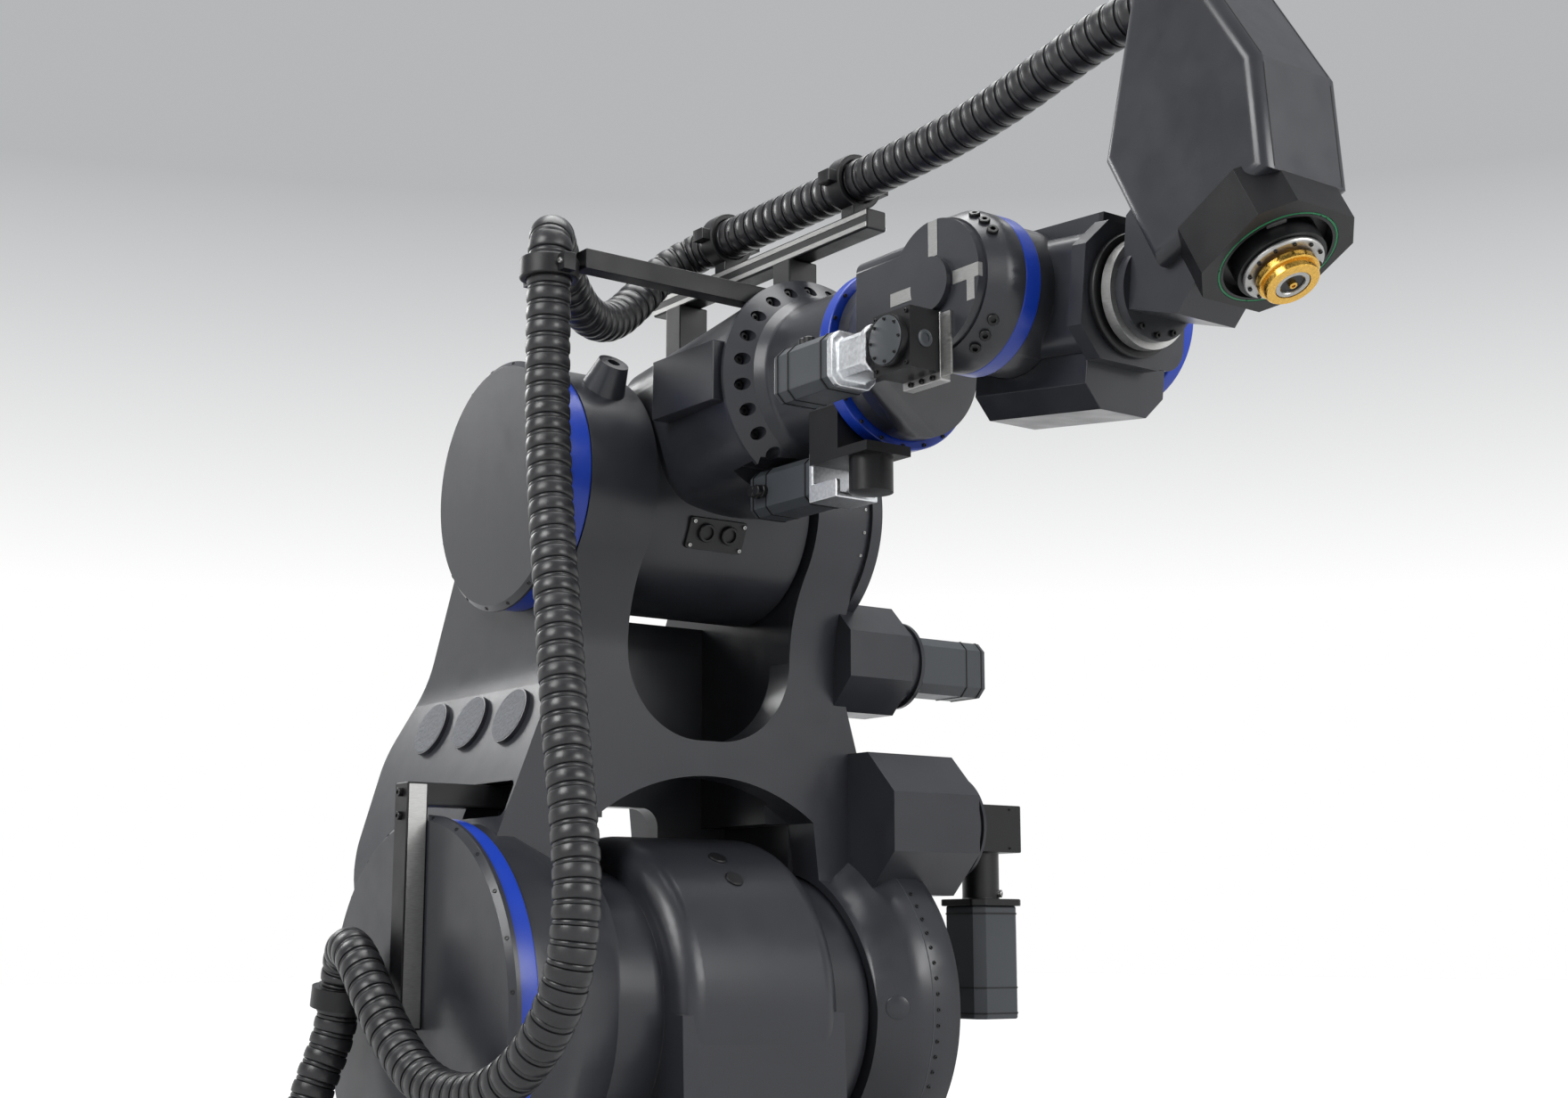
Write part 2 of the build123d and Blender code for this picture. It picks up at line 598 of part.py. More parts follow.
def fork_cut():
    """The open fork between the elbow cheeks."""
    width = CHEEK_HALF_GAP * 2
    top = SHOULDER_HEIGHT + LOWER_ARM_LENGTH + ELBOW_BOSS_RADIUS + OVERRUN
    floor = SHOULDER_HEIGHT + FORK_FLOOR_RISE
    face = Pos(0, (top + floor) / 2) * Rectangle(width, top - floor)
    face = fillet(face.vertices().sort_by(Axis.Y)[:2], FORK_FILLET)
    back = SHOULDER_REACH + ARM_FRONT - BRIDGE_THICKNESS - OVERRUN
    return front_slab(face, back, SHOULDER_REACH + ELBOW_BOSS_RADIUS + OVERRUN)


def arch_cut():
    """The arch between the shoulder legs, over the carousel drum."""
    low = SHOULDER_HEIGHT - SHOULDER_RIM_RADIUS - OVERRUN
    corner = SHOULDER_HEIGHT + ARCH_CORNER_RISE
    crown = SHOULDER_HEIGHT + ARCH_TOP_RISE
    edges = [
        Polyline(
            (ARCH_CORNER_HALF, corner), (ARCH_FOOT_HALF, SHOULDER_HEIGHT), (ARCH_FOOT_HALF, low),
            (-ARCH_FOOT_HALF, low), (-ARCH_FOOT_HALF, SHOULDER_HEIGHT), (-ARCH_CORNER_HALF, corner),
        ),
        ThreePointArc((-ARCH_CORNER_HALF, corner), (0, crown), (ARCH_CORNER_HALF, corner)),
    ]
    face = make_face(edges)
    back = SHOULDER_REACH + ARM_FRONT - BRIDGE_THICKNESS - OVERRUN
    return front_slab(face, back, SHOULDER_REACH + ARM_HUMP_BACK)


def inner_cut():
    """The hollow between the bridge in front and the web behind."""
    back = SHOULDER_REACH - BACK_WEB_REACH + BACK_WEB_THICKNESS
    front = SHOULDER_REACH + ARM_FRONT - BRIDGE_THICKNESS
    top = SHOULDER_HEIGHT + LOWER_ARM_LENGTH + ELBOW_BOSS_RADIUS + OVERRUN
    hollow = block((back, -CHEEK_HALF_GAP, SHOULDER_HEIGHT), (front, CHEEK_HALF_GAP, top))
    legs = block(
        (back, -ARCH_CORNER_HALF, SHOULDER_HEIGHT),
        (front, ARCH_CORNER_HALF, SHOULDER_HEIGHT + ARCH_CORNER_RISE),
    )
    swing = disc(SHOULDER_AXIS, DRUM_RADIUS + FACE_GAP * 2, -ARCH_CORNER_HALF, ARCH_CORNER_HALF)
    neck = disc(SHOULDER_AXIS, NECK_RADIUS + FACE_GAP, -ARCH_FOOT_HALF, ARCH_FOOT_HALF)
    feet = disc(SHOULDER_AXIS, SHOULDER_RIM_RADIUS, -ARCH_FOOT_HALF, ARCH_FOOT_HALF)
    feet -= block(
        (SHOULDER_REACH - SHOULDER_RIM_RADIUS, -ARCH_FOOT_HALF, SHOULDER_HEIGHT),
        (SHOULDER_REACH + SHOULDER_RIM_RADIUS, ARCH_FOOT_HALF, SHOULDER_HEIGHT + SHOULDER_RIM_RADIUS),
    )
    elbow = disc(ELBOW_AXIS, ELBOW_BOSS_RADIUS + OVERRUN, -CHEEK_HALF_GAP, CHEEK_HALF_GAP)
    return hollow + legs + swing + neck + feet + elbow


def back_cuts():
    """What is open behind the back web, and the small arch at its foot."""
    back = SHOULDER_REACH - ARM_HUMP_BACK - OVERRUN
    front = SHOULDER_REACH - BACK_WEB_REACH
    inside = SHOULDER_REACH - BACK_WEB_REACH + BACK_WEB_THICKNESS + OVERRUN
    low = SHOULDER_HEIGHT - SHOULDER_RIM_RADIUS
    top = SHOULDER_HEIGHT + LOWER_ARM_LENGTH + ELBOW_BOSS_RADIUS + OVERRUN
    open_back = block((back, -CHEEK_HALF_GAP, low), (front, CHEEK_HALF_GAP, top))
    web_top = SHOULDER_HEIGHT + BACK_WEB_TOP_RISE
    over_web = block((back, -CHEEK_HALF_GAP, web_top), (inside, CHEEK_HALF_GAP, top))
    face = Pos(0, SHOULDER_HEIGHT + BACK_ARCH_RISE / 2) * Rectangle(BACK_ARCH_HALF * 2, BACK_ARCH_RISE)
    face = fillet(face.vertices().sort_by(Axis.Y)[2:], BACK_ARCH_FILLET)
    return open_back + over_web + front_slab(face, front - OVERRUN, inside)


def bearing_bores():
    shoulder = TRUNNION_RADIUS + RUN_CLEARANCE
    elbow = ELBOW_TRUNNION_RADIUS + RUN_CLEARANCE
    bores = disc(SHOULDER_AXIS, shoulder, -SHOULDER_LEFT - OVERRUN, SHOULDER_RIGHT + OVERRUN)
    return bores + disc(ELBOW_AXIS, elbow, -ELBOW_LEFT - OVERRUN, ELBOW_RIGHT + OVERRUN)


def cheek_left(rise):
    """How far out the left cheek stands at a height on its flare."""
    share = (FLARE_TOP_RISE - rise) / (FLARE_TOP_RISE - FLARE_LOW_RISE)
    return ELBOW_LEFT + share * (SHOULDER_LEFT - ELBOW_LEFT)


def side_pads():
    """Three round machined pads on the slope of the left cheek."""
    slope = (0, FLARE_LOW_RISE - FLARE_TOP_RISE, SHOULDER_LEFT - ELBOW_LEFT)
    pads = Part()
    for step in (-1, 0, 1):
        x, z = arm_point(step * SIDE_PAD_PITCH - SIDE_PAD_MIDDLE, SIDE_PAD_RISE)
        frame = Plane((x, -cheek_left(SIDE_PAD_RISE), z), x_dir=(1, 0, 0), z_dir=slope)
        pads += disc(frame, SIDE_PAD_RADIUS, -SIDE_PAD_RADIUS, SIDE_PAD_PROUD)
    return pads


def pin_boss():
    """The small tapered boss on top of the left cheek."""
    angle = math.radians(PIN_BOSS_ANGLE_DEG)
    direction = (math.cos(angle), 0, math.sin(angle))
    frame = Plane((SHOULDER_REACH, -PIN_BOSS_OFFSET, ELBOW_HEIGHT), z_dir=direction)
    seat = ELBOW_BOSS_RADIUS - PIN_BOSS_SEAT
    tip = ELBOW_BOSS_RADIUS + PIN_BOSS_HEIGHT
    return lathe(frame, [
        (0, seat), (PIN_BOSS_RADIUS, seat), (PIN_BOSS_TIP_RADIUS, tip), (PIN_BOSS_HOLE_RADIUS, tip),
        (PIN_BOSS_HOLE_RADIUS, ELBOW_BOSS_RADIUS), (0, ELBOW_BOSS_RADIUS),
    ])


def cap(frame, radius, seat, thickness):
    """A round cap on the left, chamfered at its rim."""
    face = seat - thickness
    return lathe(frame, [
        (0, seat), (radius, seat), (radius, face + CAP_CHAMFER), (radius - CAP_CHAMFER, face), (0, face),
    ])


def gear_cover(frame, radius, seat, thickness):
    """A round cover on the right, with a rounded rim and a raised middle."""
    face = seat + thickness
    return lathe(frame, [
        (0, seat), (radius, seat), (radius, seat + thickness / 2), (radius - COVER_STEP, face - CAP_CHAMFER),
        (radius - COVER_STEP * 2, face - CAP_CHAMFER), (radius - COVER_STEP * 3, face), (0, face),
    ])


def shoulder_covers():
    seat = -SHOULDER_LEFT - SHOULDER_RING_WIDTH
    inner = TRUNNION_RADIUS + FACE_GAP
    thickness = SHOULDER_COVER_THICKNESS
    return {
        "shoulder_ring": ring(SHOULDER_AXIS, SHOULDER_RING_RADIUS, inner, seat, -SHOULDER_LEFT),
        "shoulder_cap": cap(SHOULDER_AXIS, SHOULDER_CAP_RADIUS, seat, SHOULDER_CAP_THICKNESS),
        "shoulder_cover": gear_cover(SHOULDER_AXIS, SHOULDER_COVER_RADIUS, SHOULDER_RIGHT, thickness),
    }


def elbow_covers():
    seat = -ELBOW_LEFT - ELBOW_RING_WIDTH
    inner = ELBOW_TRUNNION_RADIUS + FACE_GAP
    return {
        "elbow_ring": ring(ELBOW_AXIS, ELBOW_RING_RADIUS, inner, seat, -ELBOW_LEFT),
        "elbow_cap": cap(ELBOW_AXIS, ELBOW_CAP_RADIUS, seat, ELBOW_CAP_THICKNESS),
        "elbow_cover": gear_cover(ELBOW_AXIS, ELBOW_COVER_RADIUS, ELBOW_RIGHT, ELBOW_COVER_THICKNESS),
    }


def shoulder_drive(casting, cover):
    x, z = arm_point(SHOULDER_DRIVE_REACH, SHOULDER_DRIVE_RISE_SHARE * LOWER_ARM_LENGTH)
    frame = Plane((x, 0, z), x_dir=(1, 0, 0), z_dir=(0, 1, 0))
    gear = octagon_bar(frame, SHOULDER_GEAR_RADIUS, ELBOW_RIGHT + OVERRUN, SHOULDER_GEAR_END)
    gear += disc(frame, SHOULDER_GEAR_NECK_RADIUS, SHOULDER_GEAR_END, SHOULDER_GEAR_NECK_END)
    gear = gear - casting - cover
    half = ANGLE_BOX_SIDE / 2
    middle = (SHOULDER_GEAR_NECK_END + ANGLE_BOX_END) / 2
    box = block((x - half, SHOULDER_GEAR_NECK_END, z - half), (x + half, ANGLE_BOX_END, z + half))
    drop = Plane((x, middle, z), x_dir=(1, 0, 0), z_dir=(0, 0, -1))
    plate_top = half + ANGLE_NECK_DROP
    plate_low = plate_top + MOTOR_PLATE_THICKNESS
    box += disc(drop, ANGLE_NECK_RADIUS, 0, plate_top)
    box += motor_bar(drop, MOTOR_PLATE_SIDE, plate_top, plate_low)
    motor = motor_bar(drop, SHOULDER_MOTOR_SIDE, plate_low, plate_low + SHOULDER_MOTOR_LENGTH)
    return {"shoulder_gearbox": gear, "shoulder_angle_drive": box, "shoulder_motor": motor}


def elbow_drive(casting, cover):
    x, z = arm_point(ELBOW_DRIVE_REACH, ELBOW_DRIVE_RISE_SHARE * LOWER_ARM_LENGTH)
    frame = Plane((x, 0, z), x_dir=(1, 0, 0), z_dir=(0, 1, 0))
    gear = octagon_bar(frame, ELBOW_GEAR_RADIUS, ELBOW_RIGHT - OVERRUN, ELBOW_GEAR_END)
    gear += disc(frame, ELBOW_GEAR_NECK_RADIUS, ELBOW_GEAR_END, ELBOW_GEAR_NECK_END)
    end = ELBOW_GEAR_NECK_END + ELBOW_MOTOR_LENGTH
    motor = motor_bar(frame, ELBOW_MOTOR_SIDE, ELBOW_GEAR_NECK_END, end)
    return {"elbow_gearbox": gear - casting - cover, "elbow_motor": motor}


def hose_bar():
    """The upright bar over the shoulder cap, with its foot on the cheek above."""
    face = -SHOULDER_LEFT - SHOULDER_RING_WIDTH - SHOULDER_CAP_THICKNESS
    x, top = arm_point(BAR_REACH, BAR_TOP_RISE)
    low = SHOULDER_HEIGHT + BAR_LOW_RISE
    bar = block((x - BAR_WIDTH / 2, face - BAR_DEPTH, low), (x + BAR_WIDTH / 2, face, top))
    foot = block((x - BAR_WIDTH / 2, face, top - BAR_DEPTH), (x + BAR_WIDTH / 2, -ELBOW_LEFT, top))
    return bar + foot


def lower_hose_clamp():
    lean = math.radians(LOWER_CLAMP_LEAN_DEG)
    direction = (math.sin(lean), 0, math.cos(lean))
    x, z = arm_point(-LOWER_CLAMP_BACK, LOWER_CLAMP_RISE)
    centre = (x, -LOWER_CLAMP_OFFSET, z)
    bar = SHOULDER_REACH + BAR_REACH - BAR_WIDTH / 2
    face = -SHOULDER_LEFT - SHOULDER_RING_WIDTH - SHOULDER_CAP_THICKNESS
    arm = block(
        (x, face - BAR_DEPTH, z - CLAMP_ARM_HEIGHT / 2), (bar, face - FACE_GAP, z + CLAMP_ARM_HEIGHT / 2),
    )
    return hose_clamp(centre, direction) + (arm - clamp_bore(centre, direction))


def elbow_housing():
    drum = disc(ELBOW_AXIS, ELBOW_DRUM_RADIUS, -ELBOW_DRUM_HALF_WIDTH, ELBOW_DRUM_HALF_WIDTH)
    trunnions = disc(ELBOW_AXIS, ELBOW_TRUNNION_RADIUS, FACE_GAP - ELBOW_LEFT, ELBOW_RIGHT - FACE_GAP)
    height = HOUSING_TOP + HOUSING_LOW
    middle = ELBOW_HEIGHT + (HOUSING_TOP - HOUSING_LOW) / 2
    rear = Plane((SHOULDER_REACH + HOUSING_BACK, 0, middle), x_dir=(0, 1, 0), z_dir=(1, 0, 0))
    front = Plane((SHOULDER_REACH + FLANGE_BACK, 0, ROLL_HEIGHT), x_dir=(0, 1, 0), z_dir=(1, 0, 0))
    neck = loft([
        rear * RectangleRounded(HOUSING_HALF_WIDTH * 2, height, HOUSING_CORNER),
        front * Circle(FLANGE_NECK_RADIUS),
    ])
    return drum + trunnions + (neck - motor_bay())


def motor_bay():
    """The open bay under the elbow housing where the roll motor sits."""
    return block(
        (ROLL_FACE_X - MOTOR_BAY_BACK, -ROLL_DRIVE_SIDE - MOTOR_BAY_SIDE, SHOULDER_HEIGHT),
        (ROLL_FACE_X, MOTOR_BAY_SIDE - ROLL_DRIVE_SIDE, ROLL_HEIGHT - MOTOR_BAY_TOP),
    )


def elbow_flange():
    """A conical belt with a ring of deep bolt holes."""
    flange = lathe(ROLL_AXIS, [
        (0, FLANGE_BACK), (FLANGE_RADIUS, FLANGE_BACK), (FLANGE_RADIUS, FLANGE_BACK + FLANGE_RIM),
        (TUBE_FOOT_RADIUS, FLANGE_FRONT), (0, FLANGE_FRONT),
    ])
    hole = disc(ROLL_AXIS, FLANGE_HOLE_RADIUS, FLANGE_BACK + FLANGE_HOLE_FLOOR, FLANGE_FRONT + OVERRUN)
    for turn in range(FLANGE_BOLT_COUNT):
        angle = math.radians((turn + 0.5) * 360 / FLANGE_BOLT_COUNT)
        flange -= Pos(0, FLANGE_BOLT_RADIUS * math.cos(angle), FLANGE_BOLT_RADIUS * math.sin(angle)) * hole
    return flange - motor_bay()


def forearm_tube():
    end = ROLL_FACE_REACH - ROLL_RING_WIDTH
    return lathe(ROLL_AXIS, [
        (0, FLANGE_FRONT), (TUBE_FOOT_RADIUS, FLANGE_FRONT), (TUBE_RADIUS, FLANGE_FRONT + TUBE_FOOT_LENGTH),
        (TUBE_RADIUS, end), (0, end),
    ])


def roll_ring():
    return ring(
        ROLL_AXIS, ROLL_RING_RADIUS, ROLL_SPIGOT_RADIUS + RUN_CLEARANCE,
        ROLL_FACE_REACH - ROLL_RING_WIDTH, ROLL_FACE_REACH,
    )


def side_cover(housing):
    cover = block(
        (SHOULDER_REACH + SIDE_COVER_BACK, -SIDE_COVER_FACE, ELBOW_HEIGHT + SIDE_COVER_LOW),
        (SHOULDER_REACH + SIDE_COVER_FRONT, OVERRUN - HOUSING_HALF_WIDTH, ELBOW_HEIGHT + SIDE_COVER_TOP),
    )
    return cover - housing


def roll_drive(tube):
    y = -ROLL_DRIVE_SIDE
    z = ROLL_HEIGHT - ROLL_DRIVE_DROP
    frame = Plane((ROLL_FACE_X, y, z), x_dir=(0, 1, 0), z_dir=(1, 0, 0))
    motor = motor_bar(frame, ROLL_MOTOR_SIDE, -ROLL_MOTOR_BACK, -ROLL_MOTOR_FRONT)
    half = ROLL_BELL_SIDE / 2
    back = ROLL_FACE_X - ROLL_MOTOR_FRONT
    front = ROLL_FACE_X - ROLL_BELL_FRONT
    bell = block((back, y - half, z - half), (front, y + half, z + half))
    bell -= block(
        (back + ROLL_BELL_WALL, y - half + ROLL_BELL_WALL, z - half + ROLL_BELL_WALL),
        (front + OVERRUN, y + half - ROLL_BELL_WALL, z + half + OVERRUN),
    )
    bell -= block(
        (back + ROLL_BELL_WALL, y - half - OVERRUN, z - half + ROLL_BELL_SIDE * ROLL_BELL_RIM_SHARE),
        (front + OVERRUN, y + half + OVERRUN, z + half + OVERRUN),
    )
    column = Plane((front + ROLL_GEAR_RADIUS, y, ROLL_HEIGHT), x_dir=(1, 0, 0), z_dir=(0, 0, -1))
    gear = disc(column, ROLL_GEAR_RADIUS, ROLL_GEAR_TOP, ROLL_GEAR_LOW)
    plate_low = ROLL_HEIGHT - ROLL_GEAR_TOP - ROLL_PLATE_THICKNESS
    gear += block(
        (ROLL_FACE_X - ROLL_SEAT_BACK, y - ROLL_PLATE_HALF, plate_low),
        (front + ROLL_GEAR_RADIUS + ROLL_PLATE_HALF, y + ROLL_PLATE_HALF, ROLL_HEIGHT - ROLL_GEAR_TOP),
    )
    seat = block(
        (ROLL_FACE_X - ROLL_SEAT_BACK, y - ROLL_PLATE_HALF, ROLL_HEIGHT - ROLL_GEAR_TOP),
        (ROLL_FACE_X - ROLL_RING_WIDTH - FACE_GAP, y + ROLL_PLATE_HALF, ROLL_HEIGHT),
    )
    gear += (seat - tube).solids().sort_by(Axis.Z)[0]
    return {"roll_motor": motor, "roll_motor_bell": bell, "roll_gearbox": gear - bell}


def hose_rail():
    z = ELBOW_HEIGHT + RAIL_RISE
    half = RAIL_WIDTH / 2
    return block((SHOULDER_REACH + RAIL_BACK, -half, z), (SHOULDER_REACH + RAIL_FRONT, half, z + RAIL_HEIGHT))


def rail_brackets(housing, flange):
    brackets = []
    for reach in (RAIL_BRACKET_REAR, RAIL_BRACKET_FRONT):
        x = SHOULDER_REACH + reach
        post = block(
            (x, -RAIL_BRACKET_WIDTH / 2, ELBOW_HEIGHT),
            (x + RAIL_BRACKET_LENGTH, RAIL_BRACKET_WIDTH / 2, ELBOW_HEIGHT + RAIL_RISE),
        )
        cut = post - housing - flange
        brackets.append(cut.solids().sort_by(Axis.Z)[-1])
    return Compound(children=brackets)


def hose_rod(housing):
    x = SHOULDER_REACH + ROD_REACH
    z = ELBOW_HEIGHT + ROD_RISE
    end = HOSE_RADIUS + CLAMP_WALL - UPPER_CLAMP_OFFSET
    half = ROD_SIDE / 2
    rod = block((x - half, end, z - half), (x + half, -RAIL_BRACKET_WIDTH / 2, z + half))
    cut = rod - housing
    return cut.solids().sort_by(Axis.Y)[0]


def upper_hose_clamp():
    x = SHOULDER_REACH + ROD_REACH - UPPER_CLAMP_BACK
    z = ELBOW_HEIGHT + ROD_RISE - UPPER_CLAMP_DROP
    return hose_clamp((x, -UPPER_CLAMP_OFFSET, z), (0, 0, 1))


def rail_clamps():
    z = ELBOW_HEIGHT + RAIL_HOSE_RISE
    low = ELBOW_HEIGHT + RAIL_RISE + RAIL_HEIGHT
    half = CLAMP_LENGTH / 2
    clamps = []
    for reach in (RAIL_CLAMP_REAR, RAIL_CLAMP_FRONT):
        x = SHOULDER_REACH + reach
        centre = (x, 0, z)
        post = block((x - half, -CLAMP_POST_WIDTH / 2, low), (x + half, CLAMP_POST_WIDTH / 2, z))
        post -= clamp_bore(centre, (1, 0, 0))
        clamps.append((hose_clamp(centre, (1, 0, 0)) + post).solids()[0])
    return Compound(children=clamps)


def wrist_casting():
    flange_front = WRIST_BACK_X + WRIST_FLANGE_THICKNESS
    spigot_back = ROLL_FACE_REACH - ROLL_RING_WIDTH + FACE_GAP
    body = disc(ROLL_AXIS, ROLL_SPIGOT_RADIUS, spigot_back, WRIST_BACK_X - SHOULDER_REACH)
    body += disc(ROLL_AXIS, WRIST_FLANGE_RADIUS, WRIST_BACK_X - SHOULDER_REACH, flange_front - SHOULDER_REACH)
    arm_left = -BEND_ARM_LEFT
    arm_right = -BEND_FACE - BEND_RING_WIDTH
    arm_y = (arm_left + arm_right) / 2
    neck_end = flange_front + WRIST_NECK_LENGTH
    rear = Plane((flange_front, 0, ROLL_HEIGHT), x_dir=(0, 1, 0), z_dir=(1, 0, 0))
    front = Plane((neck_end, arm_y, ROLL_HEIGHT), x_dir=(0, 1, 0), z_dir=(1, 0, 0))
    section = RectangleRounded(arm_right - arm_left, WRIST_ARM_HALF_HEIGHT * 2, WRIST_ARM_CORNER)
    body += loft([rear * Circle(WRIST_FLANGE_RADIUS), front * section])
    body += front * extrude(section, BEND_X - neck_end, dir=(0, 0, 1))
    hub = lathe(BEND_AXIS, [
        (0, -BEND_HUB_FACE), (BEND_HUB_RADIUS - BEND_HUB_CHAMFER, -BEND_HUB_FACE),
        (BEND_HUB_RADIUS, BEND_HUB_DEPTH - BEND_HUB_FACE), (BEND_HUB_RADIUS, -BEND_FACE - BEND_RING_WIDTH),
        (0, -BEND_FACE - BEND_RING_WIDTH),
    ])
    return body + hub - disc(BEND_AXIS, BEND_SPIGOT_RADIUS + RUN_CLEARANCE, -BEND_FACE - BEND_RING_WIDTH, 0)


def bend_ring():
    inner = BEND_SPIGOT_RADIUS + RUN_CLEARANCE
    return ring(BEND_AXIS, BEND_HUB_RADIUS, inner, -BEND_FACE - BEND_RING_WIDTH, -BEND_FACE)


def bend_disc():
    """The round face plate with three keyways and a hub cap."""
    face = -BEND_HUB_FACE - BEND_DISC_THICKNESS
    plate = disc(BEND_AXIS, BEND_DISC_RADIUS, face, -BEND_HUB_FACE)
    slot = block(
        (BEND_DISC_RADIUS - KEYWAY_LENGTH, face - OVERRUN, -KEYWAY_WIDTH / 2),
        (BEND_DISC_RADIUS + OVERRUN, face + KEYWAY_DEPTH, KEYWAY_WIDTH / 2),
    )
    for turn in (0, 90, 180):
        plate -= Pos(BEND_X, 0, ROLL_HEIGHT) * Rot(0, -turn, 0) * slot
    return plate + disc(BEND_AXIS, BEND_CAP_RADIUS, face - BEND_CAP_THICKNESS, face)


def bend_drive(plate_cut):
    z = ROLL_HEIGHT - BEND_DRIVE_DROP
    frame = Plane((BEND_X, -BEND_DRIVE_OFFSET, z), x_dir=(0, 1, 0), z_dir=(1, 0, 0))
    motor = motor_bar(frame, BEND_MOTOR_SIDE, -BEND_MOTOR_BACK, -BEND_MOTOR_FRONT)
    bell = motor_bar(frame, BEND_MOTOR_SIDE, -BEND_MOTOR_FRONT, BEND_BELL_WALL - BEND_MOTOR_FRONT)
    bell += motor_bar(frame, BEND_BELL_SIDE, -BEND_MOTOR_FRONT, -BEND_BELL_FRONT)
    bell += motor_bar(frame, BEND_BELL_FLANGE, -BEND_BELL_FRONT - BEND_BELL_WALL, -BEND_BELL_FRONT)
    back = BEND_X - BEND_BELL_FRONT
    front = BEND_X + BEND_GEAR_FRONT
    half = BEND_GEAR_HEIGHT / 2
    gear = block((back, -BEND_GEAR_OUTER, z - half), (front, -BEND_GEAR_INNER, z + half))
    cover = Plane(((back + front) / 2, -BEND_GEAR_OUTER, z), z_dir=(0, -1, 0))
    gear += disc(cover, BEND_COVER_RADIUS, 0, BEND_COVER_THICKNESS)
    plate = block(
        (back, -BEND_GEAR_INNER, ROLL_HEIGHT - BEND_PLATE_DROP),
        (BEND_X + BEND_PLATE_FRONT, -BEND_HUB_FACE, z + half),
    )
    return {
        "bend_motor": motor,
        "bend_motor_bell": bell,
        "bend_gearbox": gear,
        "bend_drive_plate": plate - plate_cut,
    }


def turned_down(solid):
    """Turns a piece of the straight link down to its rest angle."""
    return solid.rotate(Axis((BEND_X, 0, ROLL_HEIGHT), (0, 1, 0)), BEND_REST_DEG)


def link_casting():
    barrel = disc(BEND_AXIS, LINK_BARREL_RADIUS, FACE_GAP - BEND_FACE, LINK_RIGHT)
    barrel += disc(BEND_AXIS, LINK_END_RADIUS, LINK_RIGHT, LINK_RIGHT + LINK_RING_WIDTH + LINK_END_PROUD)
    spigot = disc(BEND_AXIS, BEND_SPIGOT_RADIUS, FACE_GAP - BEND_FACE - BEND_RING_WIDTH, 0)
    middle = (LINK_NECK_RIGHT - LINK_NECK_LEFT) / 2
    rear = Plane((BEND_X, middle, ROLL_HEIGHT), x_dir=(0, 1, 0), z_dir=(1, 0, 0))
    end = TOOL_FACE_REACH - TOOL_FLANGE_THICKNESS - FACE_GAP - TOOL_RING_WIDTH
    face_back = end - LINK_FACE_THICKNESS
    section = RectangleRounded(LINK_NECK_LEFT + LINK_NECK_RIGHT, LINK_NECK_HALF_HEIGHT * 2, LINK_NECK_CORNER)
    neck = rear * extrude(section, face_back, dir=(0, 0, 1))
    plate = chamfer(Rectangle(LINK_FACE_HALF * 2, LINK_FACE_HALF * 2).vertices(), LINK_FACE_CORNER)
    face = LINK_AXIS * Pos(0, 0, face_back) * extrude(plate, LINK_FACE_THICKNESS, dir=(0, 0, 1))
    return barrel + spigot + neck + face


def link_ring():
    inner = LINK_END_RADIUS + RUN_CLEARANCE
    return ring(BEND_AXIS, LINK_RING_RADIUS, inner, LINK_RIGHT, LINK_RIGHT + LINK_RING_WIDTH)


def link_drive_cover(casting):
    cover = block(
        (BEND_X - DRIVE_COVER_BACK, -DRIVE_COVER_LEFT, ROLL_HEIGHT - DRIVE_COVER_DROP),
        (BEND_X + DRIVE_COVER_FRONT, DRIVE_COVER_RIGHT, ROLL_HEIGHT),
    )
    cover = chamfer(cover.edges().filter_by(Axis.X).sort_by(Axis.Z)[:2], DRIVE_COVER_CORNER)
    cut = cover - casting
    return cut.solids().sort_by(Axis.Z)[0]


def tool_ring():
    front = TOOL_FACE_REACH - TOOL_FLANGE_THICKNESS - FACE_GAP
    inner = TOOL_SPIGOT_RADIUS + RUN_CLEARANCE
    return ring(LINK_AXIS, TOOL_RING_RADIUS, inner, front - TOOL_RING_WIDTH, front)


def tool_flange():
    back = TOOL_FACE_REACH - TOOL_FLANGE_THICKNESS
    flange = disc(LINK_AXIS, TOOL_FLANGE_RADIUS, back, TOOL_FACE_REACH)
    return flange + disc(LINK_AXIS, TOOL_SPIGOT_RADIUS, back - TOOL_RING_WIDTH, back)


def head_point(offset):
    return (BEND_X + offset[0], ROLL_HEIGHT + offset[1])


def nose_block():
    """The chamfered black block, with a round recess for the spindle cartridge."""
    half = NOSE_BLOCK_HALF
    face = chamfer(Rectangle(half * 2, half * 2).vertices(), NOSE_BLOCK_CORNER)
    length = NOSE_BLOCK_BACK - NOSE_BLOCK_FRONT
    body = SPINDLE_AXIS * Pos(0, 0, -NOSE_BLOCK_BACK) * extrude(face, length, dir=(0, 0, 1))
    over = OVERRUN - NOSE_BLOCK_FRONT
    seat = -NOSE_BLOCK_FRONT - SEAL_THICKNESS
    groove = ring(SPINDLE_AXIS, SEAL_RADIUS, SEAL_RADIUS - SEAL_WALL, seat, over)
    floor = -NOSE_BLOCK_FRONT - NOSE_RECESS_DEPTH
    recess = disc(SPINDLE_AXIS, NOSE_RECESS_RADIUS, floor, over)
    inner = NOSE_SPIGOT_RADIUS + RUN_CLEARANCE
    return body - groove - recess + ring(SPINDLE_AXIS, CARTRIDGE_RADIUS, inner, floor, -CARTRIDGE_FRONT)


def nose_seal():
    seat = -NOSE_BLOCK_FRONT - SEAL_THICKNESS
    return ring(SPINDLE_AXIS, SEAL_RADIUS, SEAL_RADIUS - SEAL_WALL, seat, -NOSE_BLOCK_FRONT)


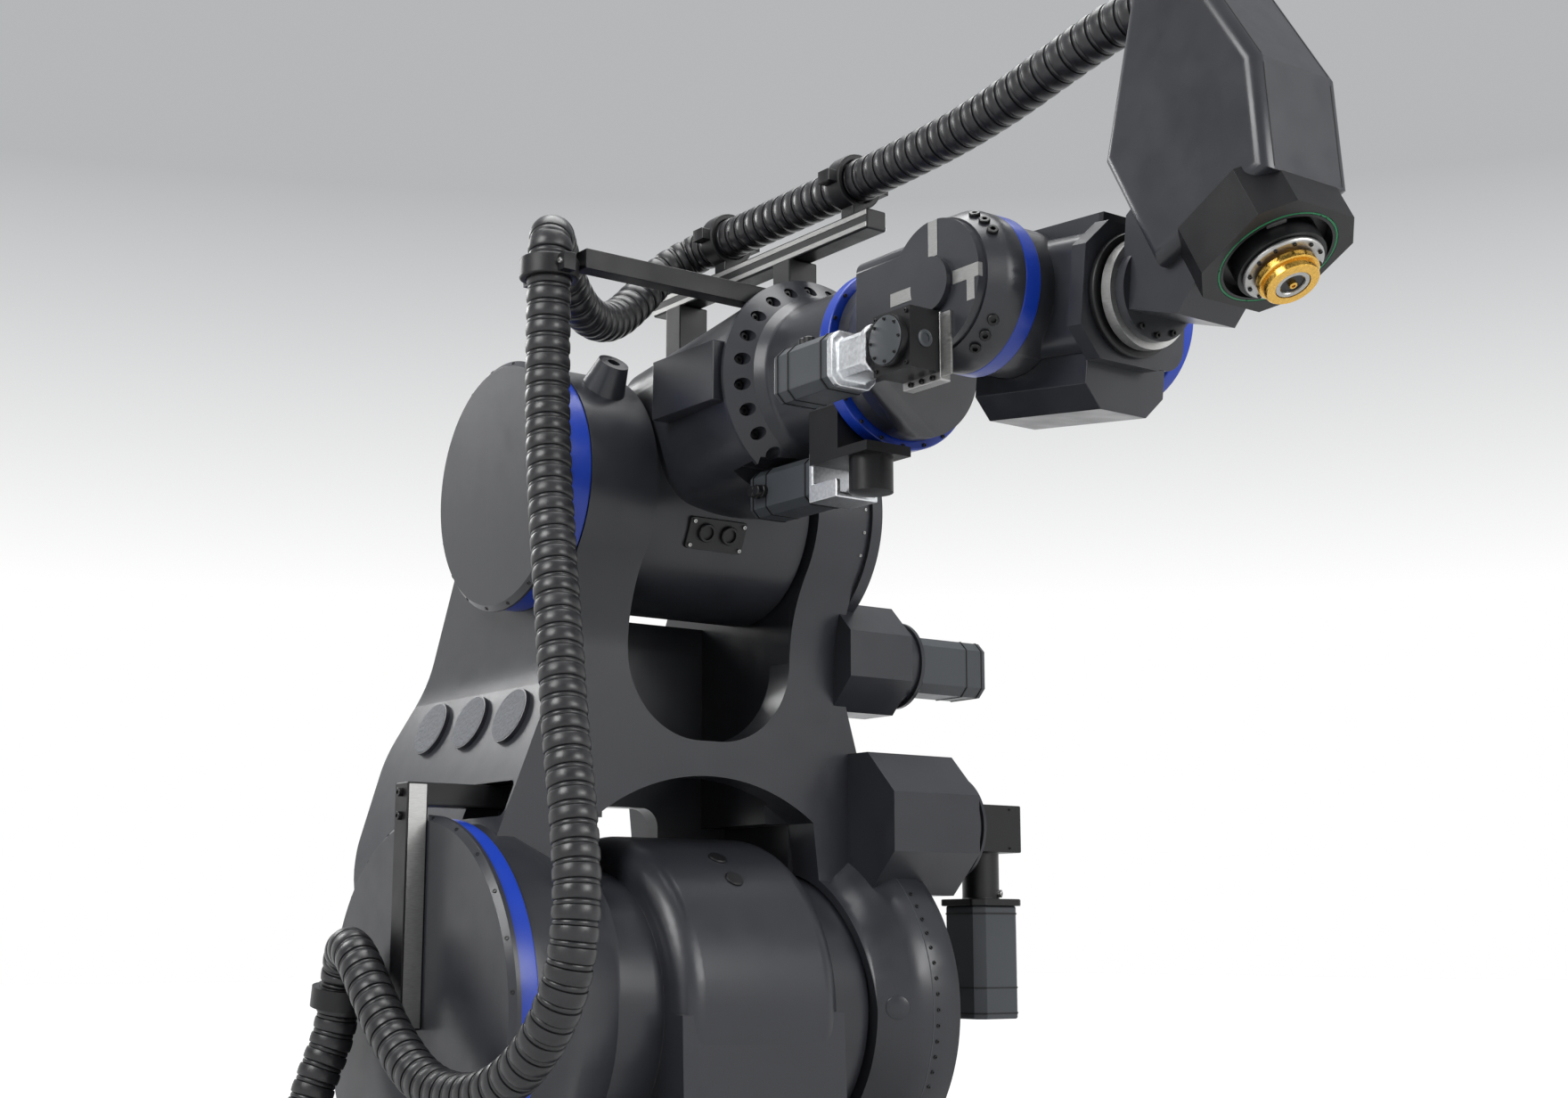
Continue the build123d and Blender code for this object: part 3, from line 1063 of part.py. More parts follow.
def nose_plate():
    inner = NOSE_SPIGOT_RADIUS + RUN_CLEARANCE
    return ring(SPINDLE_AXIS, NOSE_PLATE_RADIUS, inner, -CARTRIDGE_FRONT, -NOSE_PLATE_FRONT)


def spindle_nose():
    """The stepped tool nose, with a shallow bore in its face."""
    foot = FACE_GAP - CARTRIDGE_FRONT
    back = FACE_GAP - NOSE_PLATE_FRONT
    return lathe(SPINDLE_AXIS, [
        (0, foot), (NOSE_SPIGOT_RADIUS, foot), (NOSE_SPIGOT_RADIUS, back), (GOLD_BACK_RADIUS, back),
        (GOLD_BACK_RADIUS, -GOLD_STEP - GOLD_EDGE), (GOLD_BACK_RADIUS - GOLD_EDGE, -GOLD_STEP),
        (GOLD_FRONT_RADIUS, -GOLD_STEP), (GOLD_FRONT_RADIUS, -GOLD_EDGE), (GOLD_FRONT_RADIUS - GOLD_EDGE, 0),
        (NOSE_BORE_RADIUS, 0), (NOSE_BORE_RADIUS, -NOSE_BORE_DEPTH), (0, -NOSE_BORE_DEPTH),
    ])


def spindle_core():
    return disc(SPINDLE_AXIS, CORE_RADIUS, -NOSE_BORE_DEPTH, CORE_PROUD - NOSE_BORE_DEPTH)


def head_bracket(block_solid, flange):
    """The cast arm from the tool flange to the nose block."""
    start = disc(LINK_AXIS, TOOL_FLANGE_RADIUS - CAP_CHAMFER, TOOL_FACE_REACH, TOOL_FACE_REACH + OVERRUN)
    outline = (
        BRACKET_TOP_BACK, BRACKET_TOP, BRACKET_TOP_FRONT, BRACKET_LOW_FRONT, BRACKET_LOW, BRACKET_LOW_BACK,
    )
    face = polygon(*[head_point(p) for p in outline])
    arm = side_slab(face, -BRACKET_HALF_WIDTH, BRACKET_HALF_WIDTH)
    gate = turned_down(disc(LINK_AXIS, TOOL_RING_RADIUS * 2, 0, TOOL_FACE_REACH))
    return turned_down(start) + (arm - gate) - block_solid - flange


def head_cover(bracket, nose):
    outline = polygon(*[
        head_point(p)
        for p in (COVER_TIP, COVER_BACK, COVER_TOP_BACK, COVER_TOP_FRONT, COVER_FRONT_TOP, COVER_FRONT_LOW)
    ])
    cover = side_slab(outline, -COVER_HALF_WIDTH, COVER_HALF_WIDTH)
    sides = cover.faces().sort_by(Axis.Y)
    cover = fillet(sides[0].edges() + sides[-1].edges(), COVER_FILLET)
    return cover - bracket - nose


def head_gland(cover):
    frame = Plane((BEND_X + HEAD_GLAND_REACH, 0, ROLL_HEIGHT + HEAD_GLAND_RISE), z_dir=(1, 0, 0))
    return disc(frame, GLAND_RADIUS, 0, GLAND_LENGTH * 2) - cover


def build():
    nodes = {
        "base_plate": base_plate(),
        "base_pedestal": base_pedestal(),
        "slew_ring": slew_ring(),
        "turntable": turntable(),
        "carousel_casting": carousel_casting(),
        "feed_gland": feed_gland(),
    }
    casting = lower_arm_casting()
    nodes["lower_arm_casting"] = casting
    nodes.update(shoulder_covers())
    nodes.update(elbow_covers())
    nodes.update(shoulder_drive(casting, nodes["shoulder_cover"]))
    nodes.update(elbow_drive(casting, nodes["elbow_cover"]))
    nodes["hose_bar"] = hose_bar() - casting - nodes["shoulder_ring"] - nodes["shoulder_cap"]
    nodes["lower_hose_clamp"] = lower_hose_clamp()
    housing = elbow_housing()
    flange = elbow_flange()
    tube = forearm_tube()
    nodes.update({
        "elbow_housing": housing,
        "elbow_flange": flange,
        "forearm_tube": tube,
        "roll_ring": roll_ring(),
        "side_cover": side_cover(housing),
        "hose_rail": hose_rail(),
        "rail_brackets": rail_brackets(housing, flange),
        "hose_rod": hose_rod(housing),
        "upper_hose_clamp": upper_hose_clamp(),
        "rail_clamps": rail_clamps(),
    })
    nodes.update(roll_drive(tube))
    wrist = wrist_casting()
    bend_plate = bend_disc()
    nodes.update({"wrist_casting": wrist, "bend_ring": bend_ring(), "bend_disc": bend_plate})
    nodes.update(bend_drive(bend_plate))
    link = link_casting()
    nodes["link_casting"] = turned_down(link)
    nodes["link_drive_cover"] = turned_down(link_drive_cover(link))
    nodes["link_ring"] = link_ring()
    nodes["tool_ring"] = turned_down(tool_ring())
    nodes["tool_flange"] = turned_down(tool_flange())
    nose = nose_block()
    bracket = head_bracket(nose, nodes["tool_flange"])
    cover = head_cover(bracket, nose)
    nodes.update({
        "nose_block": nose,
        "nose_seal": nose_seal(),
        "nose_plate": nose_plate(),
        "head_bracket": bracket,
        "head_cover": cover,
        "head_gland": head_gland(cover),
        "spindle_nose": spindle_nose(),
        "spindle_core": spindle_core(),
    })
    routes = {
        "hose_feed": FEED_ROUTE,
        "hose_riser": RISER_ROUTE,
        "hose_loop": LOOP_ROUTE,
        "hose_front_roll": FRONT_ROLL_ROUTE,
        "hose_front_bend": FRONT_BEND_ROUTE,
        "hose_front_head": FRONT_HEAD_ROUTE,
    }
    for name, route in routes.items():
        nodes[name] = hose(name, route)
    return nodes


os.makedirs("parts", exist_ok=True)
for node, shape in build().items():
    export_step(shape, f"parts/{node}.step")
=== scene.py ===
import json
import math

import bmesh
import bpy
from mathutils import Matrix, Vector


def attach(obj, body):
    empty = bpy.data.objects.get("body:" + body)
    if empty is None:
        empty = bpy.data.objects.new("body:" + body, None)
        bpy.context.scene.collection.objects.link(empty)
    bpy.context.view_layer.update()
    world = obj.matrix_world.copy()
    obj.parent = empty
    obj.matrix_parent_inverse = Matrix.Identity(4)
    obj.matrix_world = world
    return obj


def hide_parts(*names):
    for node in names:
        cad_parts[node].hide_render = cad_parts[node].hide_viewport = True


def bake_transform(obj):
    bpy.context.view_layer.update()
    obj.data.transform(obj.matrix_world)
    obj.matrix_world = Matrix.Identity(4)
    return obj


# Looks of a six-axis machining robot arm: finishes, fasteners, hoses, light and camera.
# Metres, in the frame of the solids: the origin is on the floor on the swivel axis, +X is the arm's reach.

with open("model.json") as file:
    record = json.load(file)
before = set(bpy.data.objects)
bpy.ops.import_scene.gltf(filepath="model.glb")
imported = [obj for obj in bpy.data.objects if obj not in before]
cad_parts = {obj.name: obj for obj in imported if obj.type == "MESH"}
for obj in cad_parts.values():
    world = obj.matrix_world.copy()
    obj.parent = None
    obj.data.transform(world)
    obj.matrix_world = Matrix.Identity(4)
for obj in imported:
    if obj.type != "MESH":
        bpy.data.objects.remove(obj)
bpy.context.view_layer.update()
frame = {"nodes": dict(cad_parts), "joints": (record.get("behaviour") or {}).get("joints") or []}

# Ways
LEFT = Vector((0, -1, 0))
RIGHT = Vector((0, 1, 0))
FORWARD = Vector((1, 0, 0))
UP = Vector((0, 0, 1))

# Joint axes, from the frame
JOINTS = {joint["name"]: joint for joint in frame["joints"]}
SHOULDER = Vector(JOINTS["shoulder"]["pos_m"])
ELBOW = Vector(JOINTS["elbow"]["pos_m"])
ROLL = Vector(JOINTS["forearm_roll"]["pos_m"])
BEND = Vector(JOINTS["wrist_bend"]["pos_m"])
TOOL_WAY = Vector(JOINTS["tool_roll"]["axis"])
NOSE = Vector(JOINTS["spindle_spin"]["pos_m"])
NOSE_WAY = Vector(JOINTS["spindle_spin"]["axis"])

# Drive axes on the right of the lower arm, as (x, z), set off from the joints that they turn
SHOULDER_DRIVE = (SHOULDER.x + 0.165, SHOULDER.z + 0.413)
ELBOW_DRIVE = (ELBOW.x + 0.095, ELBOW.z - 0.327)


# Materials

DISPLAY_WHITE = 255
DISPLAY_GAMMA = 2.2

# The range in which a noise value mostly lies
NOISE_LOW = 0.3
NOISE_HIGH = 0.7


def linear(red, green, blue):
    """A display colour as linear light."""
    return tuple((c / DISPLAY_WHITE) ** DISPLAY_GAMMA for c in (red, green, blue)) + (1,)


def shaded(colour, share):
    """A colour made darker or lighter."""
    return tuple(min(1, c * share) for c in colour[:3]) + (1,)


def colour_ramp(tree, value, stops):
    """A colour that runs between two stops of (place, colour)."""
    ramp = tree.nodes.new("ShaderNodeValToRGB")
    for spot, (place, colour) in zip(ramp.color_ramp.elements, stops):
        spot.position = place
        spot.color = colour
    tree.links.new(value, ramp.inputs["Fac"])
    return ramp.outputs["Color"]


class Nodes:
    """A material's node tree, with short ways to add and link nodes."""

    def __init__(self, name):
        self.material = bpy.data.materials.new(name)
        self.material.use_nodes = True
        self.tree = self.material.node_tree
        self.shader = self.tree.nodes["Principled BSDF"]
        self.place = self.tree.nodes.new("ShaderNodeTexCoord").outputs["Object"]

    def link(self, output, target):
        self.tree.links.new(output, target)

    def set(self, name, value):
        """Sets one of the shader's own values."""
        self.shader.inputs[name].default_value = value

    def noise(self, scale, detail=4.0, stretch=(1, 1, 1)):
        mapping = self.tree.nodes.new("ShaderNodeMapping")
        mapping.inputs["Scale"].default_value = stretch
        self.link(self.place, mapping.inputs["Vector"])
        noise = self.tree.nodes.new("ShaderNodeTexNoise")
        noise.inputs["Scale"].default_value = scale
        noise.inputs["Detail"].default_value = detail
        self.link(mapping.outputs["Vector"], noise.inputs["Vector"])
        return noise.outputs["Fac"]

    def colour(self, value, stops):
        """The base colour, which a noise value moves between two stops."""
        self.link(colour_ramp(self.tree, value, stops), self.shader.inputs["Base Color"])

    def rough(self, value, low, high):
        """The roughness, which a noise value spreads over a range."""
        spread = self.tree.nodes.new("ShaderNodeMapRange")
        spread.inputs["From Min"].default_value = NOISE_LOW
        spread.inputs["From Max"].default_value = NOISE_HIGH
        spread.inputs["To Min"].default_value = low
        spread.inputs["To Max"].default_value = high
        self.link(value, spread.inputs["Value"])
        self.link(spread.outputs["Result"], self.shader.inputs["Roughness"])

    def bump(self, height, depth, strength):
        bump = self.tree.nodes.new("ShaderNodeBump")
        bump.inputs["Distance"].default_value = depth
        bump.inputs["Strength"].default_value = strength
        self.link(height, bump.inputs["Height"])
        self.link(bump.outputs["Normal"], self.shader.inputs["Normal"])


def paint(name, colour, rough, grain, coat=0.0):
    """Satin sprayed paint: slow drift of tone, uneven gloss and a fine orange-peel grain."""
    nodes = Nodes(name)
    drift = nodes.noise(scale=2.3, detail=5.0)
    nodes.colour(drift, [(0.3, shaded(colour, 0.84)), (0.72, shaded(colour, 1.14))])
    nodes.rough(nodes.noise(scale=14.0), low=rough - 0.06, high=rough + 0.07)
    nodes.bump(nodes.noise(grain, detail=2.0), depth=0.0006, strength=0.25)
    nodes.set("Specular IOR Level", 0.35)
    nodes.set("Coat Weight", coat)
    nodes.set("Coat Roughness", 0.22)
    return nodes.material


def metal(name, colour, rough, scale, stretch=(1, 1, 1)):
    """Machined metal with fine tool marks, which may be drawn out along one way."""
    nodes = Nodes(name)
    marks = nodes.noise(scale, 3.0, stretch)
    nodes.colour(marks, [(0.25, shaded(colour, 0.8)), (0.75, shaded(colour, 1.12))])
    nodes.rough(marks, low=rough - 0.08, high=rough + 0.1)
    nodes.bump(marks, depth=0.0003, strength=0.18)
    nodes.set("Metallic", 1.0)
    return nodes.material


def moulded(name, colour, rough, grain):
    """Plastic or rubber with a dull moulded skin."""
    nodes = Nodes(name)
    tone = nodes.noise(scale=9.0, detail=6.0)
    nodes.colour(tone, [(0.3, shaded(colour, 0.75)), (0.7, shaded(colour, 1.25))])
    nodes.rough(nodes.noise(scale=40.0), low=rough - 0.08, high=rough + 0.1)
    nodes.bump(nodes.noise(grain, detail=2.0), depth=0.0004, strength=0.3)
    return nodes.material


def cast_face(name, colour):
    """A rough cast or blasted face."""
    nodes = Nodes(name)
    pits = nodes.noise(scale=120.0, detail=6.0)
    nodes.colour(pits, [(0.35, shaded(colour, 0.6)), (0.65, shaded(colour, 1.3))])
    nodes.rough(pits, low=0.5, high=0.75)
    nodes.bump(pits, depth=0.003, strength=0.6)
    return nodes.material


MATERIALS = {
    "charcoal_paint": paint("charcoal_paint", linear(46, 47, 51), rough=0.34, grain=420.0, coat=0.2),
    "blue_paint": paint("blue_paint", linear(24, 58, 160), rough=0.36, grain=420.0, coat=0.25),
    "black_steel": paint("black_steel", linear(22, 22, 24), rough=0.40, grain=700.0),
    "motor_grey": paint("motor_grey", linear(62, 65, 68), rough=0.42, grain=600.0, coat=0.1),
    "bright_aluminium": metal("bright_aluminium", linear(212, 214, 216), rough=0.36, scale=160.0),
    "plain_steel": metal("plain_steel", linear(168, 168, 166), rough=0.38, scale=90.0, stretch=(1, 1, 14)),
    "gold_coating": metal("gold_coating", linear(214, 170, 84), rough=0.24, scale=220.0),
    "green_rubber": moulded("green_rubber", linear(20, 120, 74), rough=0.5, grain=500.0),
    "hose_plastic": moulded("hose_plastic", linear(34, 34, 36), rough=0.36, grain=350.0),
    "cast_face": cast_face("cast_face", linear(92, 94, 98)),
}


# Frames and outlines

CORNER_STEPS = 4


def axis_frame(origin, way, toward=UP):
    """A frame at a point, local Z along a way and local X as near as can be to another."""
    z = Vector(way).normalized()
    x = Vector(toward) - z * z.dot(Vector(toward))
    x.normalize()
    turn = Matrix((x, z.cross(x), z)).transposed()
    return Matrix.Translation(origin) @ turn.to_4x4()


def around(place, radius, angle):
    """A frame moved out from an axis and turned about it."""
    return place @ Matrix.Rotation(angle, 4, "Z") @ Matrix.Translation((radius, 0, 0))


def ring_of(origin, way, radius, count, lean=0.0, sink=0.0, phase=0.0):
    """Frames in a ring about an axis, which may lean outward by degrees and sink in.

    Phase turns the ring by that many of its own steps.
    """
    middle = axis_frame(origin, way)
    seat = Matrix.Rotation(math.radians(lean), 4, "Y") @ Matrix.Translation((0, 0, -sink))
    return [around(middle, radius, math.tau * (i + phase) / count) @ seat for i in range(count)]


def clear_of(places, axis, radius):
    """The frames that aren't within a radius of a cross axis at (x, z)."""
    kept = []
    for place in places:
        spot = place.translation
        if Vector((spot.x - axis[0], spot.z - axis[1])).length > radius:
            kept.append(place)
    return kept


def slanted(angle):
    """A way in the arm's upright plane, degrees above straight ahead."""
    turn = math.radians(angle)
    return Vector((math.cos(turn), 0, math.sin(turn)))


def four_corners(across, up):
    """The corners of a rectangle about its middle, from half its sides."""
    return [(u, w) for u in (-across, across) for w in (-up, up)]


def rectangle(width, height, corner=0.0):
    """A rectangle outline, which may have rounded corners."""
    across = width / 2
    up = height / 2
    if not corner:
        return [(-across, -up), (across, -up), (across, up), (-across, up)]
    points = []
    for quarter, (sx, sy) in enumerate(((1, 1), (-1, 1), (-1, -1), (1, -1))):
        for step in range(CORNER_STEPS + 1):
            angle = math.pi / 2 * (quarter + step / CORNER_STEPS)
            x = sx * (across - corner) + corner * math.cos(angle)
            y = sy * (up - corner) + corner * math.sin(angle)
            points.append((x, y))
    return points


# Meshes and pieces

SMOOTH_ANGLE = 35

# A cap screw's head, as shares of its radius: rim, top and hexagon socket
BOLT_SIDES = 24
BOLT_RIM_SHARE = 0.86
BOLT_TOP_SHARE = 0.88
SOCKET_SHARE = 0.52
SOCKET_FLOOR_SHARE = 0.4
HEXAGON_STEP = math.pi / 3


def ring_points(mesh, place, radius, height, sides):
    """Mesh points on a circle of a frame, or the one point where the radius is zero."""
    if radius == 0:
        return [mesh.verts.new(place @ Vector((0, 0, height)))]
    turns = [math.tau * i / sides for i in range(sides)]
    spots = [Vector((radius * math.cos(turn), radius * math.sin(turn), height)) for turn in turns]
    return [mesh.verts.new(place @ spot) for spot in spots]


def join_rings(mesh, low, high):
    """Faces between two rings of points, either of which may be one point."""
    count = max(len(low), len(high))
    for i in range(count):
        j = (i + 1) % count
        corners = [low[i % len(low)], low[j % len(low)], high[j % len(high)], high[i % len(high)]]
        mesh.faces.new(list(dict.fromkeys(corners)))


def lathe(mesh, place, profile, sides, loop=False):
    """A profile of (radius, height) points turned about a frame's axis."""
    rings = [ring_points(mesh, place, radius, height, sides) for radius, height in profile]
    for low, high in zip(rings, rings[1:]):
        join_rings(mesh, low, high)
    if loop:
        join_rings(mesh, rings[-1], rings[0])


def prism(mesh, place, outline, low, high, edge=0.0):
    """An outline of (x, y) points raised along a frame's axis, its top edge drawn in a little."""
    levels = [(outline, low), (outline, high - edge)]
    if edge:
        middle = Vector((sum(p[0] for p in outline), sum(p[1] for p in outline))) / len(outline)
        reaches = [Vector(p) - middle for p in outline]
        levels.append(([middle + reach * (1 - edge / max(reach.length, edge)) for reach in reaches], high))
    rings = [[mesh.verts.new(place @ Vector((p[0], p[1], z))) for p in shape] for shape, z in levels]
    for below, above in zip(rings, rings[1:]):
        join_rings(mesh, below, above)
    mesh.faces.new(rings[0])
    mesh.faces.new(rings[-1])


def slab(mesh, low, high, edge=0.0):
    """A box between two corners."""
    place = Matrix.Translation(((low[0] + high[0]) / 2, (low[1] + high[1]) / 2, low[2]))
    prism(mesh, place, rectangle(high[0] - low[0], high[1] - low[1]), 0, high[2] - low[2], edge)


def piece(name, mesh, slot, body, angle=SMOOTH_ANGLE):
    """Turns a mesh into a named piece, which rides on a body where one is given."""
    bmesh.ops.recalc_face_normals(mesh, faces=mesh.faces)
    data = bpy.data.meshes.new(name)
    mesh.to_mesh(data)
    mesh.free()
    data.materials.append(MATERIALS[slot])
    data.shade_smooth()
    data.set_sharp_from_angle(angle=math.radians(angle))
    made = bpy.data.objects.new(name, data)
    bpy.context.scene.collection.objects.link(made)
    if body:
        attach(made, body)
    return made


def turned(name, place, profile, slot, body, sides, loop=False):
    """A piece that is one turned profile."""
    mesh = bmesh.new()
    lathe(mesh, place, profile, sides, loop)
    piece(name, mesh, slot, body)


def socket_bolt(mesh, place, head):
    """A cap screw's head with its hexagon socket, standing on a frame's XY plane."""
    top = head * BOLT_TOP_SHARE
    lathe(mesh, place, [(head, 0), (head, head * BOLT_RIM_SHARE), (top, head)], BOLT_SIDES)
    rim = ring_points(mesh, place, top, head, BOLT_SIDES)
    flat = head * SOCKET_SHARE * math.cos(HEXAGON_STEP / 2)
    sockets = []
    for height in (head, head * SOCKET_FLOOR_SHARE):
        points = []
        for i in range(BOLT_SIDES):
            angle = math.tau * i / BOLT_SIDES
            reach = flat / math.cos((angle + HEXAGON_STEP / 2) % HEXAGON_STEP - HEXAGON_STEP / 2)
            spot = Vector((reach * math.cos(angle), reach * math.sin(angle), height))
            points.append(mesh.verts.new(place @ spot))
        sockets.append(points)
    join_rings(mesh, rim, sockets[0])
    join_rings(mesh, sockets[0], sockets[1])
    mesh.faces.new(sockets[1])


def bolts(name, places, head, body, slot="black_steel"):
    """Many cap screws in one piece."""
    mesh = bmesh.new()
    for place in places:
        socket_bolt(mesh, place, head)
    piece(name, mesh, slot, body)


# Hoses

HOSE_RADIUS = 0.045
HOSE_PITCH = 0.035
HOSE_SIDES = 40
HOSE_SMOOTH_ANGLE = 50
ROUTE_STEPS = 24
# A route that starts closer than this to straight across takes its first side from above
ACROSS_SHARE = 0.9

# One rib and the groove beside it: share of the pitch, and share of the hose's radius
HOSE_PROFILE_SHARES = (
    (0.0, 0.88), (0.03, 0.955), (0.10, 0.988), (0.36, 1.0), (0.60, 0.992), (0.70, 0.965), (0.72, 0.88),
    (0.76, 0.925), (0.85, 0.94), (0.96, 0.925),
)
FEED_ROUTE = (
    (0.020, -0.566, 0.430), (0.020, -0.650, 0.440), (0.026, -0.722, 0.492), (0.036, -0.752, 0.590),
    (0.048, -0.760, 0.700), (0.058, -0.752, 0.810), (0.066, -0.724, 0.915), (0.078, -0.690, 1.010),
    (0.092, -0.690, 1.082),
)
RISER_ROUTE = (
    (0.092, -0.690, 1.082), (0.106, -0.690, 1.154), (0.166, -0.712, 1.190), (0.250, -0.728, 1.165),
    (0.335, -0.730, 1.085), (0.430, -0.728, 1.000), (0.540, -0.722, 0.930), (0.670, -0.710, 0.905),
    (0.810, -0.704, 0.930), (0.930, -0.694, 1.005), (1.010, -0.684, 1.120), (1.025, -0.674, 1.260),
    (0.985, -0.664, 1.425), (0.930, -0.654, 1.600), (0.880, -0.640, 1.780), (0.820, -0.622, 1.960),
    (0.775, -0.610, 2.140), (0.747, -0.600, 2.320), (0.747, -0.600, 2.523),
)
LOOP_ROUTE = (
    (0.747, -0.600, 2.523), (0.747, -0.600, 2.575), (0.720, -0.580, 2.612), (0.665, -0.540, 2.612),
    (0.600, -0.480, 2.572), (0.535, -0.405, 2.535), (0.470, -0.320, 2.530), (0.410, -0.235, 2.562),
    (0.372, -0.155, 2.630), (0.366, -0.085, 2.712), (0.405, -0.016, 2.762), (0.470, 0.000, 2.769),
    (0.998, 0.000, 2.769),
)
FRONT_ROLL_ROUTE = ((0.998, 0, 2.769), (1.095, 0, 2.769), (1.240, 0, 2.775))
FRONT_BEND_ROUTE = ((1.240, 0, 2.775), (1.385, 0, 2.781), (1.540, 0, 2.811))
FRONT_HEAD_ROUTE = ((1.540, 0, 2.811), (1.695, 0, 2.841), (1.790, 0, 2.850), (1.868, 0, 2.850))


def route_points(name, route):
    """Points along the smooth line that a route's points control."""
    curve = bpy.data.curves.new(name + "_line", "CURVE")
    curve.dimensions = "3D"
    spline = curve.splines.new("NURBS")
    spline.points.add(len(route) - 1)
    for point, place in zip(spline.points, route):
        point.co = (*place, 1)
    spline.order_u = 3
    spline.use_endpoint_u = True
    spline.resolution_u = ROUTE_STEPS
    line = bpy.data.objects.new(name + "_line", curve)
    points = [vertex.co.copy() for vertex in bpy.data.meshes.new_from_object(line).vertices]
    bpy.data.objects.remove(line)
    return points


def ribbed_hose(name, route, node):
    """A ribbed hose along a route, standing for a plain hose solid."""
    points = route_points(name, route)
    lengths = [0.0]
    for a, b in zip(points, points[1:]):
        lengths.append(lengths[-1] + (b - a).length)
    ribs = round(lengths[-1] / HOSE_PITCH)
    stations = [((rib + share) / ribs, size) for rib in range(ribs) for share, size in HOSE_PROFILE_SHARES]
    stations.append((1.0, HOSE_PROFILE_SHARES[0][1]))
    mesh = bmesh.new()
    side = RIGHT if abs((points[1] - points[0]).normalized().y) < ACROSS_SHARE else UP
    index = 0
    rings = []
    for share, size in stations:
        place = share * lengths[-1]
        while index < len(points) - 2 and lengths[index + 1] < place:
            index += 1
        step = (place - lengths[index]) / (lengths[index + 1] - lengths[index])
        centre = points[index].lerp(points[index + 1], step)
        way = (points[index + 1] - points[index]).normalized()
        side = (side - way * side.dot(way)).normalized()
        rings.append(ring_points(mesh, axis_frame(centre, way, side), HOSE_RADIUS * size, 0, HOSE_SIDES))
    for low, high in zip(rings, rings[1:]):
        join_rings(mesh, low, high)
    mesh.faces.new(rings[0])
    mesh.faces.new(rings[-1])
    made = piece(name, mesh, "hose_plastic", None, HOSE_SMOOTH_ANGLE)
    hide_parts(node)
    return made


def hoses():
    """The hose's spans from the turntable to the head."""
    feed = ribbed_hose("ribbed_hose_feed", FEED_ROUTE, "hose_feed")
    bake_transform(feed)
    riser = ribbed_hose("ribbed_hose_riser", RISER_ROUTE, "hose_riser")
    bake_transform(riser)
    loop = ribbed_hose("ribbed_hose_loop", LOOP_ROUTE, "hose_loop")
    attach(loop, "upper_arm")
    over_roll = ribbed_hose("ribbed_hose_front_roll", FRONT_ROLL_ROUTE, "hose_front_roll")
    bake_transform(over_roll)
    over_bend = ribbed_hose("ribbed_hose_front_bend", FRONT_BEND_ROUTE, "hose_front_bend")
    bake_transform(over_bend)
    to_head = ribbed_hose("ribbed_hose_front_head", FRONT_HEAD_ROUTE, "hose_front_head")
    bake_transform(to_head)


# Covers of the shoulder and the elbow

# Screws about the left caps: piece, axis, place across the arm, radius and count
CAP_RINGS = (
    ("shoulder_cap_screws", SHOULDER, -0.618, 0.400, 24),
    ("elbow_cap_screws", ELBOW, -0.454, 0.270, 18),
)
CAP_SCREW_HEAD = 0.0045
CAP_SCREW_LEAN = 45
CAP_SCREW_SINK = 0.003

# Bolts about the right covers: piece, axis, face, radius, count, head, and the drive and radius to clear
COVER_RINGS = (
    ("shoulder_cover_bolts", SHOULDER, 0.536, 0.343, 36, 0.0075, SHOULDER_DRIVE, 0.186),
    ("elbow_cover_bolts", ELBOW, 0.412, 0.243, 30, 0.0065, ELBOW_DRIVE, 0.150),
)


def covers():
    """Screws of the shoulder and elbow covers."""
    for name, axis, across, radius, count in CAP_RINGS:
        origin = (axis.x, across, axis.z)
        places = ring_of(origin, LEFT, radius, count, CAP_SCREW_LEAN, CAP_SCREW_SINK, phase=0.5)
        bolts(name, places, CAP_SCREW_HEAD, "lower_arm")
    for name, axis, face, radius, count, head_radius, drive, reach in COVER_RINGS:
        places = ring_of((axis.x, face, axis.z), RIGHT, radius, count)
        bolts(name, clear_of(places, drive, reach), head_radius, "lower_arm")


# Lower arm

# Seam and screws about the right leg's round end, screws about the right ear, and a plug
SIDE_SCREW_LEAN = 90
SIDE_SCREW_SINK = 0.001
LEG_END_RADIUS = 0.3915
LEG_SEAM = 0.438
LEG_SEAM_PROFILE = ((-0.003, -0.002), (0.0012, -0.0012), (0.0012, 0.0012), (-0.003, 0.002))
LEG_SCREWS = 0.451
LEG_SCREW_COUNT = 72
LEG_SCREW_HEAD = 0.0045
LEG_SCREW_CLEARANCE = 0.180
EAR_SCREWS = 0.352
EAR_SCREW_COUNT = 32
EAR_SCREW_HEAD = 0.0036
EAR_SCREW_LOW = 0.140
LEG_PLUG_PLACE = (0.6499, 0.3698, 1.0554)
LEG_PLUG_WAY = (0.820, -0.572, -0.021)
LEG_PLUG_PROFILE = ((0.026, -0.003), (0.026, 0.001), (0.0245, 0.002), (0, 0.002))

# Hollow curves from the fork's round ears down into the legs
EAR_RADIUS = 0.272
EAR_BLEND_RADIUS = 0.34
LEG_FRONT = 0.158
EAR_SIDES = ((-0.384, -0.218), (0.218, 0.366))
BLEND_STEPS = 20
BLEND_SEAT = 0.030
BLEND_INSET = 0.0005

# Three pads in a row on the left cheek
PAD_SLOPE = (0, -0.455, 0.174)
PAD_MIDDLE = (SHOULDER.x - 0.148, -0.42797, SHOULDER.z + 0.620)
PAD_PITCH = 0.180
PAD_HEIGHT = 0.0095
PAD_FACE_PROFILE = ((0, 0), (0.0595, 0), (0.0595, 0.001), (0, 0.001))

